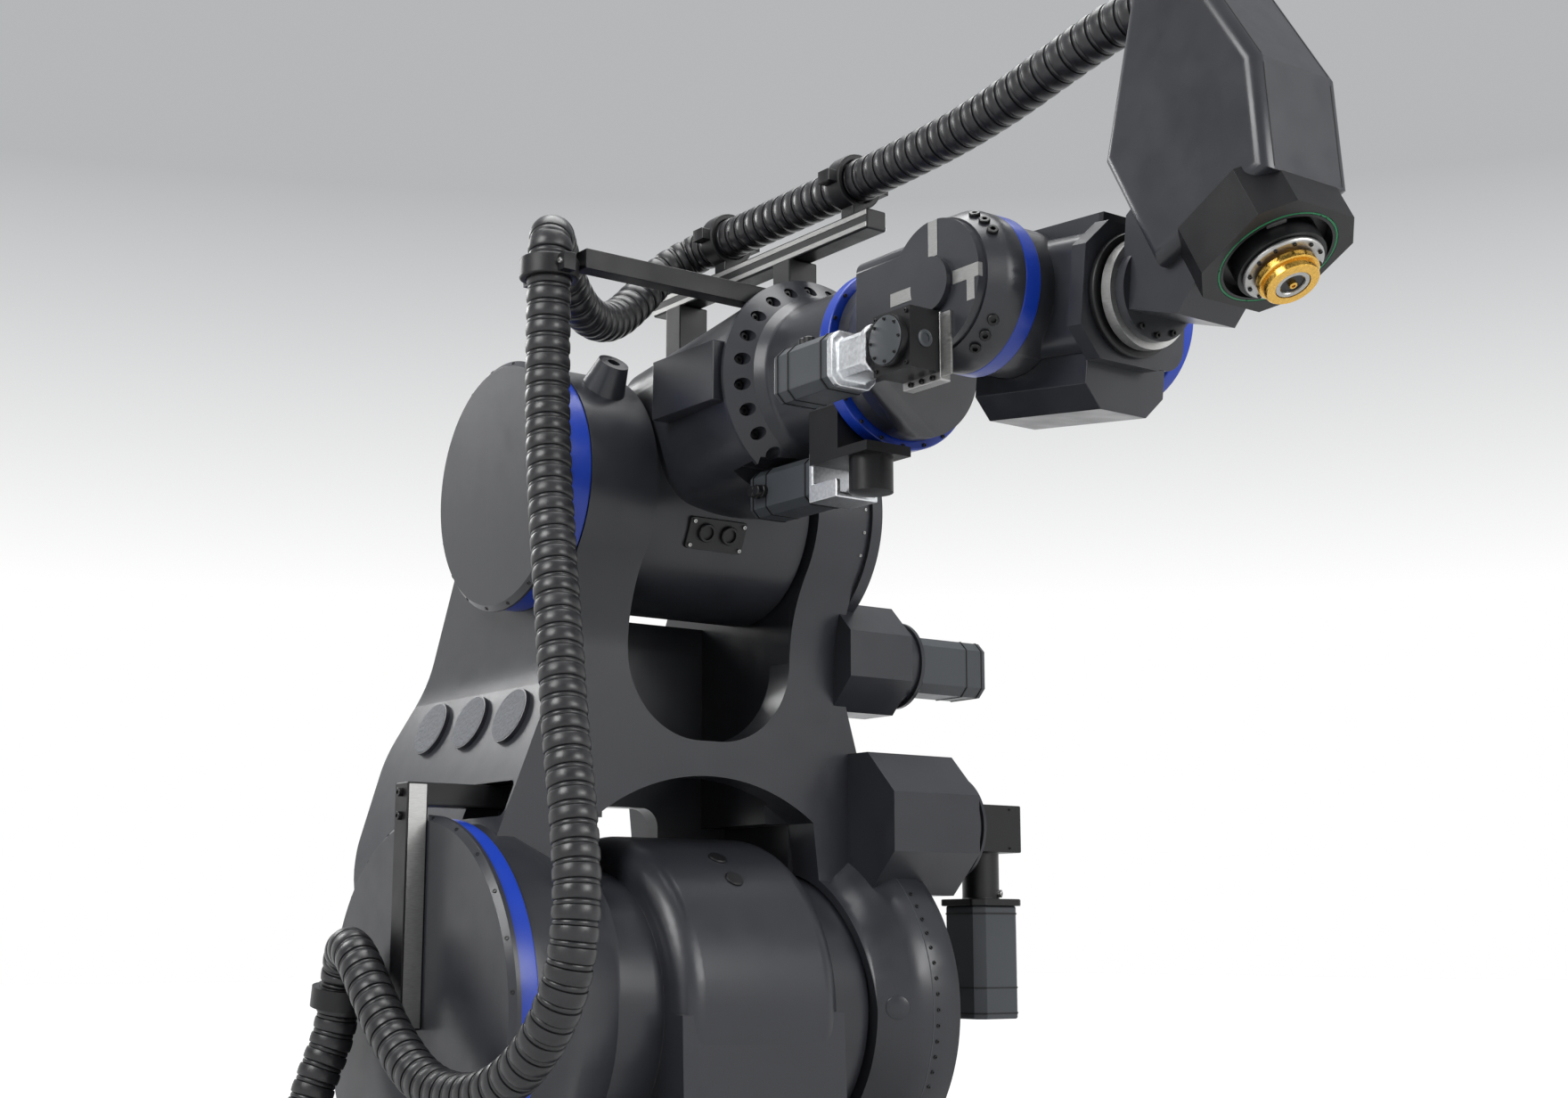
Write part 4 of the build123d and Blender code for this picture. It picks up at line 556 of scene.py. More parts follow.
# The upright bar of the low hose clamp
HOSE_BAR_FACE = ((0.336, -0.668, 1.024), (0.3385, -0.628, 1.517))
HOSE_BAR_BOLTS = ((0.310, -0.672, 1.452), (0.310, -0.672, 1.500))
HOSE_BAR_BOLT_HEAD = 0.009


def right_leg():
    """The gear case seam, its screws and a plug on the right leg, and screws about the right ear."""
    seam = axis_frame((SHOULDER.x, LEG_SEAM, SHOULDER.z), RIGHT)
    profile = [(LEG_END_RADIUS + out, along) for out, along in LEG_SEAM_PROFILE]
    turned("leg_seam", seam, profile, "motor_grey", "lower_arm", sides=144, loop=True)
    middle = (SHOULDER.x, LEG_SCREWS, SHOULDER.z)
    places = ring_of(middle, RIGHT, LEG_END_RADIUS, LEG_SCREW_COUNT, SIDE_SCREW_LEAN, SIDE_SCREW_SINK)
    bolts("leg_screws", clear_of(places, SHOULDER_DRIVE, LEG_SCREW_CLEARANCE), LEG_SCREW_HEAD, "lower_arm")
    middle = (ELBOW.x, EAR_SCREWS, ELBOW.z)
    places = ring_of(middle, RIGHT, EAR_RADIUS, EAR_SCREW_COUNT, SIDE_SCREW_LEAN, SIDE_SCREW_SINK)
    free = [place for place in places if place.translation.z > ELBOW.z - EAR_SCREW_LOW]
    bolts("ear_screws", free, EAR_SCREW_HEAD, "lower_arm", "plain_steel")
    plug = axis_frame(LEG_PLUG_PLACE, LEG_PLUG_WAY)
    turned("leg_plug", plug, LEG_PLUG_PROFILE, "charcoal_paint", "lower_arm", sides=48)


def ear_blends():
    """The hollow curves by which the round ears of the fork run down into the legs."""
    reach = LEG_FRONT + EAR_BLEND_RADIUS
    rise = math.sqrt((EAR_RADIUS + EAR_BLEND_RADIUS) ** 2 - reach ** 2)
    centre = Vector((ELBOW.x + LEG_FRONT + EAR_BLEND_RADIUS, ELBOW.z - rise))
    curve = []
    for step in range(BLEND_STEPS + 1):
        angle = math.pi - math.atan2(rise, reach) * step / BLEND_STEPS
        x = centre.x + EAR_BLEND_RADIUS * math.cos(angle)
        z = centre.y + EAR_BLEND_RADIUS * math.sin(angle)
        curve.append((x, z))
    back = ELBOW.x + LEG_FRONT - BLEND_SEAT
    curve += [(back, curve[-1][1]), (back, curve[0][1])]
    mesh = bmesh.new()
    for low, high in EAR_SIDES:
        sides = (low + BLEND_INSET, high - BLEND_INSET)
        rings = [[mesh.verts.new((x, y, z)) for x, z in curve] for y in sides]
        join_rings(mesh, *rings)
        for ring in rings:
            mesh.faces.new(ring)
    piece("ear_blends", mesh, "charcoal_paint", "lower_arm")


def lower_arm():
    """Rough faces of the side pads, and the face and bolts of the hose bar."""
    mesh = bmesh.new()
    slope = Vector(PAD_SLOPE).normalized()
    x, y, z = PAD_MIDDLE
    for step in (-1, 0, 1):
        pad = Vector((x + step * PAD_PITCH, y, z))
        lathe(mesh, axis_frame(pad + slope * PAD_HEIGHT, slope, FORWARD), PAD_FACE_PROFILE, sides=64)
    piece("pad_faces", mesh, "cast_face", "lower_arm")
    mesh = bmesh.new()
    slab(mesh, *HOSE_BAR_FACE)
    piece("hose_bar_face", mesh, "plain_steel", "lower_arm")
    places = [axis_frame(place, LEFT) for place in HOSE_BAR_BOLTS]
    bolts("hose_bar_bolts", places, HOSE_BAR_BOLT_HEAD, "lower_arm")


# Drives

# A servomotor: its cut corners, its three seams from the rear end, and its two plugs
MOTOR_CUT_SHARE = 0.16
MOTOR_SEAM_STAND = 0.0012
MOTOR_REAR_SEAM = (0.012, 0.015)
MOTOR_CASE_SHARE = 0.27
MOTOR_CASE_SEAM = 0.003
MOTOR_FRONT_SEAM = (0.020, 0.016)
MOTOR_PLUG_SHARES = (0.10, 0.19)
MOTOR_PLUG_START = 0.012
MOTOR_PLUG_PROFILE = (
    (0.013, -0.002), (0.013, 0.009), (0.0115, 0.010), (0.0115, 0.022), (0.0095, 0.024), (0, 0.024),
)
RIB_EDGE = 0.001

# Shoulder drive: gearbox, right-angle box and its neck, and the upright motor
SHOULDER_GEARBOX_FACE = 0.640
SHOULDER_GEARBOX_RING = 0.146
SHOULDER_GEARBOX_BOLTS = 16
SHOULDER_GEARBOX_BOLT_HEAD = 0.008
SHOULDER_RIBS = ((0.648, 0.126), (0.666, 0.126), (0.684, 0.126))
SHOULDER_RIB_INSIDE = 0.117
SHOULDER_RIB_WIDTH = 0.010
ANGLE_DRIVE_SIDE = 0.784
ANGLE_DRIVE_HALF = 0.056
ANGLE_COVER_PROFILE = ((0.046, -0.001), (0.046, 0.004), (0.044, 0.006), (0, 0.006))
ANGLE_SCREW_SPREAD = 0.046
ANGLE_SCREW_HEAD = 0.003
NECK_DROP = 0.128
NECK_SEAM_PROFILE = ((0.043, -0.002), (0.0455, -0.001), (0.0455, 0.001), (0.043, 0.002))
NECK_SCREW_PLACE = (0.036, 0.024, -0.153)
NECK_SCREW_WAY = (0.83, 0.55, 0)
NECK_SCREW_HEAD = 0.009
SHOULDER_MOTOR_REAR = 1.019
SHOULDER_MOTOR_SIDE = 0.138
SHOULDER_MOTOR_LENGTH = 0.262
MOTOR_GLAND_FORWARD = 0.020
MOTOR_GLAND_PROFILE = (
    (0.016, -0.002), (0.016, 0.014), (0.0145, 0.016), (0.0145, 0.026), (0.012, 0.028), (0, 0.028),
)

# Elbow drive: gearbox, flange and motor in line
ELBOW_GEARBOX_FACE = 0.530
ELBOW_GEARBOX_RING = 0.113
ELBOW_GEARBOX_BOLTS = 12
ELBOW_GEARBOX_BOLT_HEAD = 0.007
ELBOW_RIBS = ((0.536, 0.101), (0.579, 0.104))
ELBOW_RIB_INSIDE = 0.095
ELBOW_RIB_WIDTH = 0.012
ELBOW_MOTOR_REAR = 0.814
ELBOW_MOTOR_SIDE = 0.134
ELBOW_MOTOR_LENGTH = 0.222
MOTOR_FLANGE_BACK = 0.5925
MOTOR_FLANGE_SIDE = 0.140
MOTOR_FLANGE_CORNER = 0.012
MOTOR_FLANGE_THICKNESS = 0.009
MOTOR_FLANGE_EDGE = 0.001


def motor(name, rear, way, face, side, length, body):
    """Case seams and two plugs of a square servomotor, from its rear end."""
    place = axis_frame(rear, way, face)
    cut = side * MOTOR_CUT_SHARE
    half = side / 2 + MOTOR_SEAM_STAND
    outline = [
        (half, cut - half), (half, half - cut), (half - cut, half), (cut - half, half),
        (-half, half - cut), (-half, cut - half), (cut - half, -half), (half - cut, -half),
    ]
    case = MOTOR_CASE_SHARE * length
    front_low, front_high = MOTOR_FRONT_SEAM
    seams = (MOTOR_REAR_SEAM, (case, case + MOTOR_CASE_SEAM), (length - front_low, length - front_high))
    mesh = bmesh.new()
    for low, high in seams:
        prism(mesh, place, outline, low, high)
    piece(name + "_seams", mesh, "black_steel", body)
    mesh = bmesh.new()
    for along in MOTOR_PLUG_SHARES:
        plug = axis_frame((side / 2, 0, along * length + MOTOR_PLUG_START), FORWARD)
        lathe(mesh, place @ plug, MOTOR_PLUG_PROFILE, sides=28)
    piece(name + "_plugs", mesh, "black_steel", body)


def gearbox_ribs(name, drive, ribs, inside, width, sides):
    """Rings about a gearbox, each at a place across the arm and with a radius."""
    x, z = drive
    mesh = bmesh.new()
    for across, radius in ribs:
        profile = [(inside, 0), (radius, RIB_EDGE), (radius, width - RIB_EDGE), (inside, width)]
        lathe(mesh, axis_frame((x, across, z), RIGHT), profile, sides, loop=True)
    piece(name, mesh, "charcoal_paint", "lower_arm")


def shoulder_drive():
    """Bolts, ribs, cover, seams and gland of the shoulder drive."""
    x, z = SHOULDER_DRIVE
    middle = (x, SHOULDER_GEARBOX_FACE, z)
    places = ring_of(middle, RIGHT, SHOULDER_GEARBOX_RING, SHOULDER_GEARBOX_BOLTS, phase=0.5)
    bolts("shoulder_gearbox_bolts", places, SHOULDER_GEARBOX_BOLT_HEAD, "lower_arm")
    gearbox_ribs(
        "shoulder_gearbox_ribs", SHOULDER_DRIVE, SHOULDER_RIBS, SHOULDER_RIB_INSIDE, SHOULDER_RIB_WIDTH,
        sides=72,
    )
    top = axis_frame((x, ANGLE_DRIVE_SIDE, z + ANGLE_DRIVE_HALF), UP)
    turned("angle_drive_cover", top, ANGLE_COVER_PROFILE, "black_steel", "lower_arm", sides=56)
    front = x + ANGLE_DRIVE_HALF
    corners = four_corners(ANGLE_SCREW_SPREAD, ANGLE_SCREW_SPREAD)
    places = [axis_frame((front, ANGLE_DRIVE_SIDE + u, z + w), FORWARD) for u, w in corners]
    bolts("angle_drive_screws", places, ANGLE_SCREW_HEAD, "lower_arm")
    neck = axis_frame((x, ANGLE_DRIVE_SIDE, z - NECK_DROP), UP)
    turned("angle_drive_neck_seam", neck, NECK_SEAM_PROFILE, "motor_grey", "lower_arm", sides=64, loop=True)
    u, v, w = NECK_SCREW_PLACE
    place = axis_frame((x + u, ANGLE_DRIVE_SIDE + v, z + w), NECK_SCREW_WAY)
    bolts("angle_drive_neck_screw", [place], NECK_SCREW_HEAD, "lower_arm", "plain_steel")
    rear = (x, ANGLE_DRIVE_SIDE, SHOULDER_MOTOR_REAR)
    motor("shoulder_motor", rear, UP, -FORWARD, SHOULDER_MOTOR_SIDE, SHOULDER_MOTOR_LENGTH, "lower_arm")
    gland = axis_frame((x + MOTOR_GLAND_FORWARD, ANGLE_DRIVE_SIDE, SHOULDER_MOTOR_REAR), -UP)
    turned("shoulder_motor_gland", gland, MOTOR_GLAND_PROFILE, "black_steel", "lower_arm", sides=32)


def elbow_drive():
    """Bolts, ribs and flange of the elbow drive, and its motor's seams and plugs."""
    x, z = ELBOW_DRIVE
    middle = (x, ELBOW_GEARBOX_FACE, z)
    places = ring_of(middle, RIGHT, ELBOW_GEARBOX_RING, ELBOW_GEARBOX_BOLTS, phase=0.5)
    bolts("elbow_gearbox_bolts", places, ELBOW_GEARBOX_BOLT_HEAD, "lower_arm")
    gearbox_ribs("elbow_gearbox_ribs", ELBOW_DRIVE, ELBOW_RIBS, ELBOW_RIB_INSIDE, ELBOW_RIB_WIDTH, sides=64)
    rear = (x, ELBOW_MOTOR_REAR, z)
    motor("elbow_motor", rear, LEFT, -FORWARD, ELBOW_MOTOR_SIDE, ELBOW_MOTOR_LENGTH, "lower_arm")
    mesh = bmesh.new()
    place = axis_frame((x, MOTOR_FLANGE_BACK, z), RIGHT, FORWARD)
    outline = rectangle(MOTOR_FLANGE_SIDE, MOTOR_FLANGE_SIDE, MOTOR_FLANGE_CORNER)
    prism(mesh, place, outline, 0, MOTOR_FLANGE_THICKNESS, MOTOR_FLANGE_EDGE)
    piece("elbow_motor_flange", mesh, "bright_aluminium", "lower_arm")


# Upper arm

# Bolts of the elbow flange, but for those over the roll motor, and screws of the roll ring
FLANGE_FACE = 0.840
FLANGE_RING = 0.206
FLANGE_BOLTS = 24
FLANGE_BOLT_HEAD = 0.0095
ROLL_MOTOR_BAY = (-0.165, 0.005)
ROLL_MOTOR_DROP = 0.15
ROLL_RING_FACE = 1.129
ROLL_RING_RADIUS = 0.180
ROLL_RING_SCREWS = 20
ROLL_RING_SCREW_HEAD = 0.004

# Roll drive under the forearm
ROLL_MOTOR_REAR = (0.784, -0.080, 2.114)
ROLL_MOTOR_SIDE = 0.098
ROLL_MOTOR_LENGTH = 0.210
ROLL_GEARBOX_UNDERSIDE = 2.137
ROLL_GEARBOX_BOLT_ENDS = (1.015, 1.170)
ROLL_GEARBOX_BOLT_SIDES = (-0.124, -0.036)
ROLL_GEARBOX_BOLT_HEAD = 0.006

# The plate with two round sockets on the front of the elbow housing
ELBOW_DRUM_RADIUS = 0.252
CONNECTOR_SIDE = -0.0415
CONNECTOR_ANGLE = -23
CONNECTOR_SIZE = (0.072, 0.150)
CONNECTOR_CORNER = 0.006
CONNECTOR_BACK = -0.005
CONNECTOR_FACE = 0.007
CONNECTOR_EDGE = 0.0015
CONNECTOR_SOCKETS = ((0.004, -0.030), (0.004, 0.030))
CONNECTOR_SOCKET_PROFILE = (
    (0.021, -0.001), (0.021, 0.007), (0.0195, 0.009), (0.0150, 0.009), (0.0150, 0.003), (0, 0.003),
)
CONNECTOR_SCREW_INSET = 0.009
CONNECTOR_SCREW_HEAD = 0.0045


def forearm():
    """Bolts of the elbow flange and roll ring, and the seams, plugs and bolts of the roll drive."""
    low, high = ROLL_MOTOR_BAY
    seated = []
    for place in ring_of((FLANGE_FACE, 0, ROLL.z), FORWARD, FLANGE_RING, FLANGE_BOLTS, phase=0.5):
        spot = place.translation
        if not (low < spot.y < high and spot.z < ROLL.z - ROLL_MOTOR_DROP):
            seated.append(place)
    bolts("elbow_flange_bolts", seated, FLANGE_BOLT_HEAD, "upper_arm")
    places = ring_of((ROLL_RING_FACE, 0, ROLL.z), FORWARD, ROLL_RING_RADIUS, ROLL_RING_SCREWS)
    bolts("roll_ring_screws", places, ROLL_RING_SCREW_HEAD, "upper_arm")
    motor("roll_motor", ROLL_MOTOR_REAR, FORWARD, LEFT, ROLL_MOTOR_SIDE, ROLL_MOTOR_LENGTH, "upper_arm")
    corners = [(x, y) for x in ROLL_GEARBOX_BOLT_ENDS for y in ROLL_GEARBOX_BOLT_SIDES]
    places = [axis_frame((x, y, ROLL_GEARBOX_UNDERSIDE), -UP) for x, y in corners]
    bolts("roll_gearbox_bolts", places, ROLL_GEARBOX_BOLT_HEAD, "upper_arm")


def connector_plate():
    """The black plate with two round sockets on the front of the elbow housing."""
    way = slanted(CONNECTOR_ANGLE)
    place = axis_frame(ELBOW + way * ELBOW_DRUM_RADIUS + RIGHT * CONNECTOR_SIDE, way)
    height, width = CONNECTOR_SIZE
    outline = rectangle(height, width, CONNECTOR_CORNER)
    mesh = bmesh.new()
    prism(mesh, place, outline, CONNECTOR_BACK, CONNECTOR_FACE, CONNECTOR_EDGE)
    for up, side in CONNECTOR_SOCKETS:
        socket = place @ Matrix.Translation((up, side, CONNECTOR_FACE))
        lathe(mesh, socket, CONNECTOR_SOCKET_PROFILE, sides=36)
    piece("connector_plate", mesh, "black_steel", "upper_arm")
    corners = four_corners(height / 2 - CONNECTOR_SCREW_INSET, width / 2 - CONNECTOR_SCREW_INSET)
    places = [place @ Matrix.Translation((u, v, CONNECTOR_FACE)) for u, v in corners]
    bolts("connector_plate_screws", places, CONNECTOR_SCREW_HEAD, "upper_arm", "plain_steel")


# Hose holders

# Hose clamps: piece, centre, way of the hose, sides that have an ear, way of the screws, and body
LOWER_CLAMP_WAY = Vector((0.19081, 0, 0.98163))
CLAMPS = (
    ("rear_rail_clamp", (0.512, 0, 2.769), FORWARD, (LEFT, RIGHT), UP, "upper_arm"),
    ("front_rail_clamp", (0.977, 0, 2.769), FORWARD, (LEFT, RIGHT), UP, "upper_arm"),
    ("upper_clamp", RISER_ROUTE[-1], UP, (FORWARD, -FORWARD), LEFT, "upper_arm"),
    ("lower_clamp", RISER_ROUTE[0], LOWER_CLAMP_WAY, (LOWER_CLAMP_WAY.cross(RIGHT),), LEFT, "lower_arm"),
)
CLAMP_EAR_REACH = 0.069
CLAMP_EAR_SIZE = (0.024, 0.026)
CLAMP_EAR_HALF = 0.018
CLAMP_EAR_EDGE = 0.002
CLAMP_EAR_FACE = 0.013
CLAMP_SCREW_HEAD = 0.0055

# Bright strips along both sides of the rail
RAIL_ENDS = (0.250, 1.050)
RAIL_STRIP_SIDES = (-0.0268, 0.0258)
RAIL_STRIP_LEVELS = (2.651, 2.677)
RAIL_STRIP_THICKNESS = 0.001
RAIL_STRIP_HEIGHT = 0.010

# Gland nuts: piece, end of the hose, way, start, end, and body
GLAND_NUTS = (
    ("feed_gland_nut", FEED_ROUTE[0], (0, -0.99299, 0.11822), -0.034, -0.010, "carousel"),
    ("head_gland_nut", FRONT_HEAD_ROUTE[-1], FORWARD, 0.004, 0.016, "head"),
)
NUT_RADIUS = 0.070
NUT_SIDES = 6
NUT_EDGE = 0.002


def clamp_ears(name, centre, way, sides, face, body):
    """Ears of a hose clamp on the sides given, with screws on one face."""
    mesh = bmesh.new()
    places = []
    for side in sides:
        ear = Vector(centre) + side * CLAMP_EAR_REACH
        outline = rectangle(*CLAMP_EAR_SIZE)
        prism(mesh, axis_frame(ear, way, side), outline, -CLAMP_EAR_HALF, CLAMP_EAR_HALF, CLAMP_EAR_EDGE)
        places.append(axis_frame(ear + face * CLAMP_EAR_FACE, face))
    piece(name + "_ears", mesh, "black_steel", body)
    bolts(name + "_screws", places, CLAMP_SCREW_HEAD, body, "plain_steel")


def hose_holders():
    """Clamp ears, gland nuts and the strips of the rail."""
    for clamp in CLAMPS:
        clamp_ears(*clamp)
    mesh = bmesh.new()
    start, end = RAIL_ENDS
    for y in RAIL_STRIP_SIDES:
        for z in RAIL_STRIP_LEVELS:
            slab(mesh, (start, y, z), (end, y + RAIL_STRIP_THICKNESS, z + RAIL_STRIP_HEIGHT))
    piece("rail_strips", mesh, "plain_steel", "upper_arm")
    turns = [math.tau * (i + 0.5) / NUT_SIDES for i in range(NUT_SIDES)]
    outline = [(NUT_RADIUS * math.cos(turn), NUT_RADIUS * math.sin(turn)) for turn in turns]
    for name, origin, way, low, high, body in GLAND_NUTS:
        mesh = bmesh.new()
        prism(mesh, axis_frame(origin, way), outline, low, high, NUT_EDGE)
        piece(name, mesh, "black_steel", body)


# Wrist

# Bolts on the face plate's cone, in three groups, by degrees about the bend axis
HUB_EDGE = -0.226
HUB_BOLT_RADIUS = 0.1377
HUB_BOLT_HEAD = 0.0105
HUB_BOLT_LEAN = 63.9
HUB_BOLT_SINK = 0.004
HUB_BOLT_GROUPS = (-42, 40, -140)
HUB_BOLT_STEPS = (-13, 0, 13)

# Pale keys on the face plate: lowest and highest corner, x and z from the bend axis
BEND_KEYS = (
    ((-0.0125, -0.2684, 0.053), (0.0125, -0.258, 0.1205)),
    ((0.053, -0.2684, -0.0125), (0.1205, -0.258, 0.0125)),
    ((0.090, -0.2686, -0.052), (0.110, -0.266, -0.0125)),
    ((-0.1205, -0.2684, -0.0125), (-0.053, -0.258, 0.0125)),
)

# Bend drive: the gearbox's round plate, screws and plug, the motor, and the pale plate's edge and bolts
BEND_GEAR = Vector((1.509, -0.355, 2.243))
BEND_COVER_PROFILE = ((0.0445, -0.001), (0.0445, 0.0015), (0.0435, 0.002), (0, 0.002))
BEND_COVER_FACE = 0.002
BEND_COVER_RING = 0.039
BEND_COVER_SCREWS = 8
BEND_COVER_SCREW_HEAD = 0.003
BEND_GEARBOX_SIDE = -0.341
BEND_GEARBOX_SCREW_SPREAD = (0.042, 0.047)
BEND_GEARBOX_SCREW_HEAD = 0.004
BEND_PLUG_PLACE = (1.560, -0.307, BEND_GEAR.z)
BEND_PLUG_PROFILE = (
    (0.016, -0.001), (0.016, 0.002), (0.014, 0.003), (0.009, 0.003), (0.009, 0.001), (0, 0.001),
)
BEND_MOTOR_REAR = (1.192, -0.316, 2.243)
BEND_MOTOR_SIDE = 0.104
BEND_MOTOR_LENGTH = 0.164
BEND_PLATE_BOLTS = ((1.482, -0.273, 2.1795), (1.512, -0.273, 2.1795), (1.542, -0.273, 2.1795))
BEND_PLATE_BOLT_HEAD = 0.005
BEND_PLATE_EDGE = ((1.5632, -0.2730, 2.178), (1.590, -0.2686, 2.294))
BEND_PLATE_CHAMFER = 0.001

# The link's raised top web: points along the tool axis and above it, and its two sides
LINK_WEB_OUTLINE = ((0.020, 0.060), (0.020, 0.137), (0.206, 0.146), (0.206, 0.060))
LINK_WEB_LEFT = -0.064
LINK_WEB_RIGHT = 0.090
LINK_WEB_EDGE = 0.006


def bend_joint():
    """Bolts and pale keys of the wrist's face plate, and the fittings of its drive."""
    middle = axis_frame((BEND.x, HUB_EDGE, BEND.z), LEFT)
    seat = Matrix.Rotation(math.radians(HUB_BOLT_LEAN), 4, "Y") @ Matrix.Translation((0, 0, -HUB_BOLT_SINK))
    turns = [math.radians(group + step) for group in HUB_BOLT_GROUPS for step in HUB_BOLT_STEPS]
    places = [around(middle, HUB_BOLT_RADIUS, turn) @ seat for turn in turns]
    bolts("bend_hub_bolts", places, HUB_BOLT_HEAD, "wrist_roll")
    mesh = bmesh.new()
    for corners in BEND_KEYS:
        low, high = [(BEND.x + x, y, BEND.z + z) for x, y, z in corners]
        slab(mesh, low, high)
    piece("bend_keys", mesh, "plain_steel", "wrist_roll")
    cover = axis_frame(BEND_GEAR, LEFT)
    turned("bend_gearbox_plate", cover, BEND_COVER_PROFILE, "motor_grey", "wrist_roll", sides=64)
    places = ring_of(BEND_GEAR + LEFT * BEND_COVER_FACE, LEFT, BEND_COVER_RING, BEND_COVER_SCREWS)
    bolts("bend_gearbox_screws", places, BEND_COVER_SCREW_HEAD, "wrist_roll")
    corners = four_corners(*BEND_GEARBOX_SCREW_SPREAD)
    places = [axis_frame((BEND_GEAR.x + u, BEND_GEARBOX_SIDE, BEND_GEAR.z + w), LEFT) for u, w in corners]
    bolts("bend_gearbox_corner_screws", places, BEND_GEARBOX_SCREW_HEAD, "wrist_roll")
    plug = axis_frame(BEND_PLUG_PLACE, FORWARD)
    turned("bend_gearbox_plug", plug, BEND_PLUG_PROFILE, "motor_grey", "wrist_roll", sides=36)
    motor("bend_motor", BEND_MOTOR_REAR, FORWARD, UP, BEND_MOTOR_SIDE, BEND_MOTOR_LENGTH, "wrist_roll")
    places = [axis_frame(place, LEFT) for place in BEND_PLATE_BOLTS]
    bolts("bend_plate_bolts", places, BEND_PLATE_BOLT_HEAD, "wrist_roll")
    mesh = bmesh.new()
    slab(mesh, *BEND_PLATE_EDGE, BEND_PLATE_CHAMFER)
    piece("bend_plate_edge", mesh, "plain_steel", "wrist_roll")


def link_web():
    """The flat-topped web that runs along the top of the wrist link."""
    above = RIGHT.cross(TOOL_WAY) * -1
    place = Matrix((TOOL_WAY, above, TOOL_WAY.cross(above))).transposed().to_4x4()
    place.translation = BEND
    low, high = sorted((LINK_WEB_LEFT * place.col[2].y, LINK_WEB_RIGHT * place.col[2].y))
    mesh = bmesh.new()
    prism(mesh, place, LINK_WEB_OUTLINE, low, high, LINK_WEB_EDGE)
    piece("link_web", mesh, "charcoal_paint", "wrist_bend")


# Head

# Bolts in the lower part of the tool flange, along the tool axis from the bend axis
TOOL_FLANGE_REACH = 0.296
TOOL_FLANGE_RING = 0.078
TOOL_FLANGE_BOLTS = 12
TOOL_FLANGE_BOLT_HEAD = 0.006
TOOL_FLANGE_LOW = 0.085

# Seam along both sides of the cover: points ahead of the bend axis and above it
HEAD_SEAM = ((0.440, 0.560), (0.618, 0.270), (0.633, 0.069))
HEAD_SEAM_SIDE = 0.084
HEAD_SEAM_SIZE = (0.0022, 0.0012)
HEAD_SEAM_START = 0.012
HEAD_SEAM_END = 0.006

# Spindle nose: plate, keys, ring and bolt, each set back from the nose's end
NOSE_PLATE_BACK = 0.034
NOSE_PLATE_RING = 0.0635
NOSE_PLATE_BOLTS = 12
NOSE_PLATE_BOLT_HEAD = 0.0036
NOSE_KEY_BACK = 0.088
NOSE_KEY_RING = 0.087
NOSE_KEY_SIZE = (0.013, 0.034)
NOSE_KEY_HEIGHT = 0.022
NOSE_KEY_EDGE = 0.001
NOSE_RING_PROFILE = (
    (0.0302, -0.008), (0.0302, -0.002), (0.0295, -0.0012),
    (0.0225, -0.0012), (0.0215, -0.003), (0.0215, -0.008),
)
NOSE_BOLT_BACK = 0.005
NOSE_BOLT_HEAD = 0.007


def head():
    """Bolts of the tool flange, the seams of the cover and the fittings of the spindle nose."""
    places = ring_of(BEND + TOOL_WAY * TOOL_FLANGE_REACH, TOOL_WAY, TOOL_FLANGE_RING, TOOL_FLANGE_BOLTS)
    low = [place for place in places if place.translation.z < BEND.z - TOOL_FLANGE_LOW]
    bolts("tool_flange_bolts", low, TOOL_FLANGE_BOLT_HEAD, "head")
    mesh = bmesh.new()
    for y in (-HEAD_SEAM_SIDE, HEAD_SEAM_SIDE):
        points = [Vector((BEND.x + ahead, y, BEND.z + above)) for ahead, above in HEAD_SEAM]
        for a, b in zip(points, points[1:]):
            end = (b - a).length - HEAD_SEAM_END
            prism(mesh, axis_frame(a, b - a, RIGHT), rectangle(*HEAD_SEAM_SIZE), HEAD_SEAM_START, end)
    piece("head_cover_seams", mesh, "black_steel", "head")
    places = ring_of(NOSE - NOSE_WAY * NOSE_PLATE_BACK, NOSE_WAY, NOSE_PLATE_RING, NOSE_PLATE_BOLTS)
    bolts("nose_plate_bolts", places, NOSE_PLATE_BOLT_HEAD, "head")
    mesh = bmesh.new()
    for place in ring_of(NOSE - NOSE_WAY * NOSE_KEY_BACK, NOSE_WAY, NOSE_KEY_RING, count=2, phase=0.25):
        prism(mesh, place, rectangle(*NOSE_KEY_SIZE), 0, NOSE_KEY_HEIGHT, NOSE_KEY_EDGE)
    piece("nose_keys", mesh, "plain_steel", "head")
    nose = axis_frame(NOSE, NOSE_WAY)
    turned("nose_inner_ring", nose, NOSE_RING_PROFILE, "plain_steel", "spindle", sides=72, loop=True)
    place = axis_frame(NOSE - NOSE_WAY * NOSE_BOLT_BACK, NOSE_WAY)
    bolts("nose_centre_bolt", [place], NOSE_BOLT_HEAD, "spindle", "gold_coating")


# Base

TURNTABLE_TOP = 0.476
TURNTABLE_RING = 0.474
TURNTABLE_BOLTS = 30
TURNTABLE_BOLT_HEAD = 0.012
DRUM_PLUG_REACH = 0.3745
DRUM_PLUG_ANGLES = (48, 60)
DRUM_PLUG_PROFILE = ((0.021, 0), (0.021, 0.003), (0.019, 0.005), (0, 0.005))


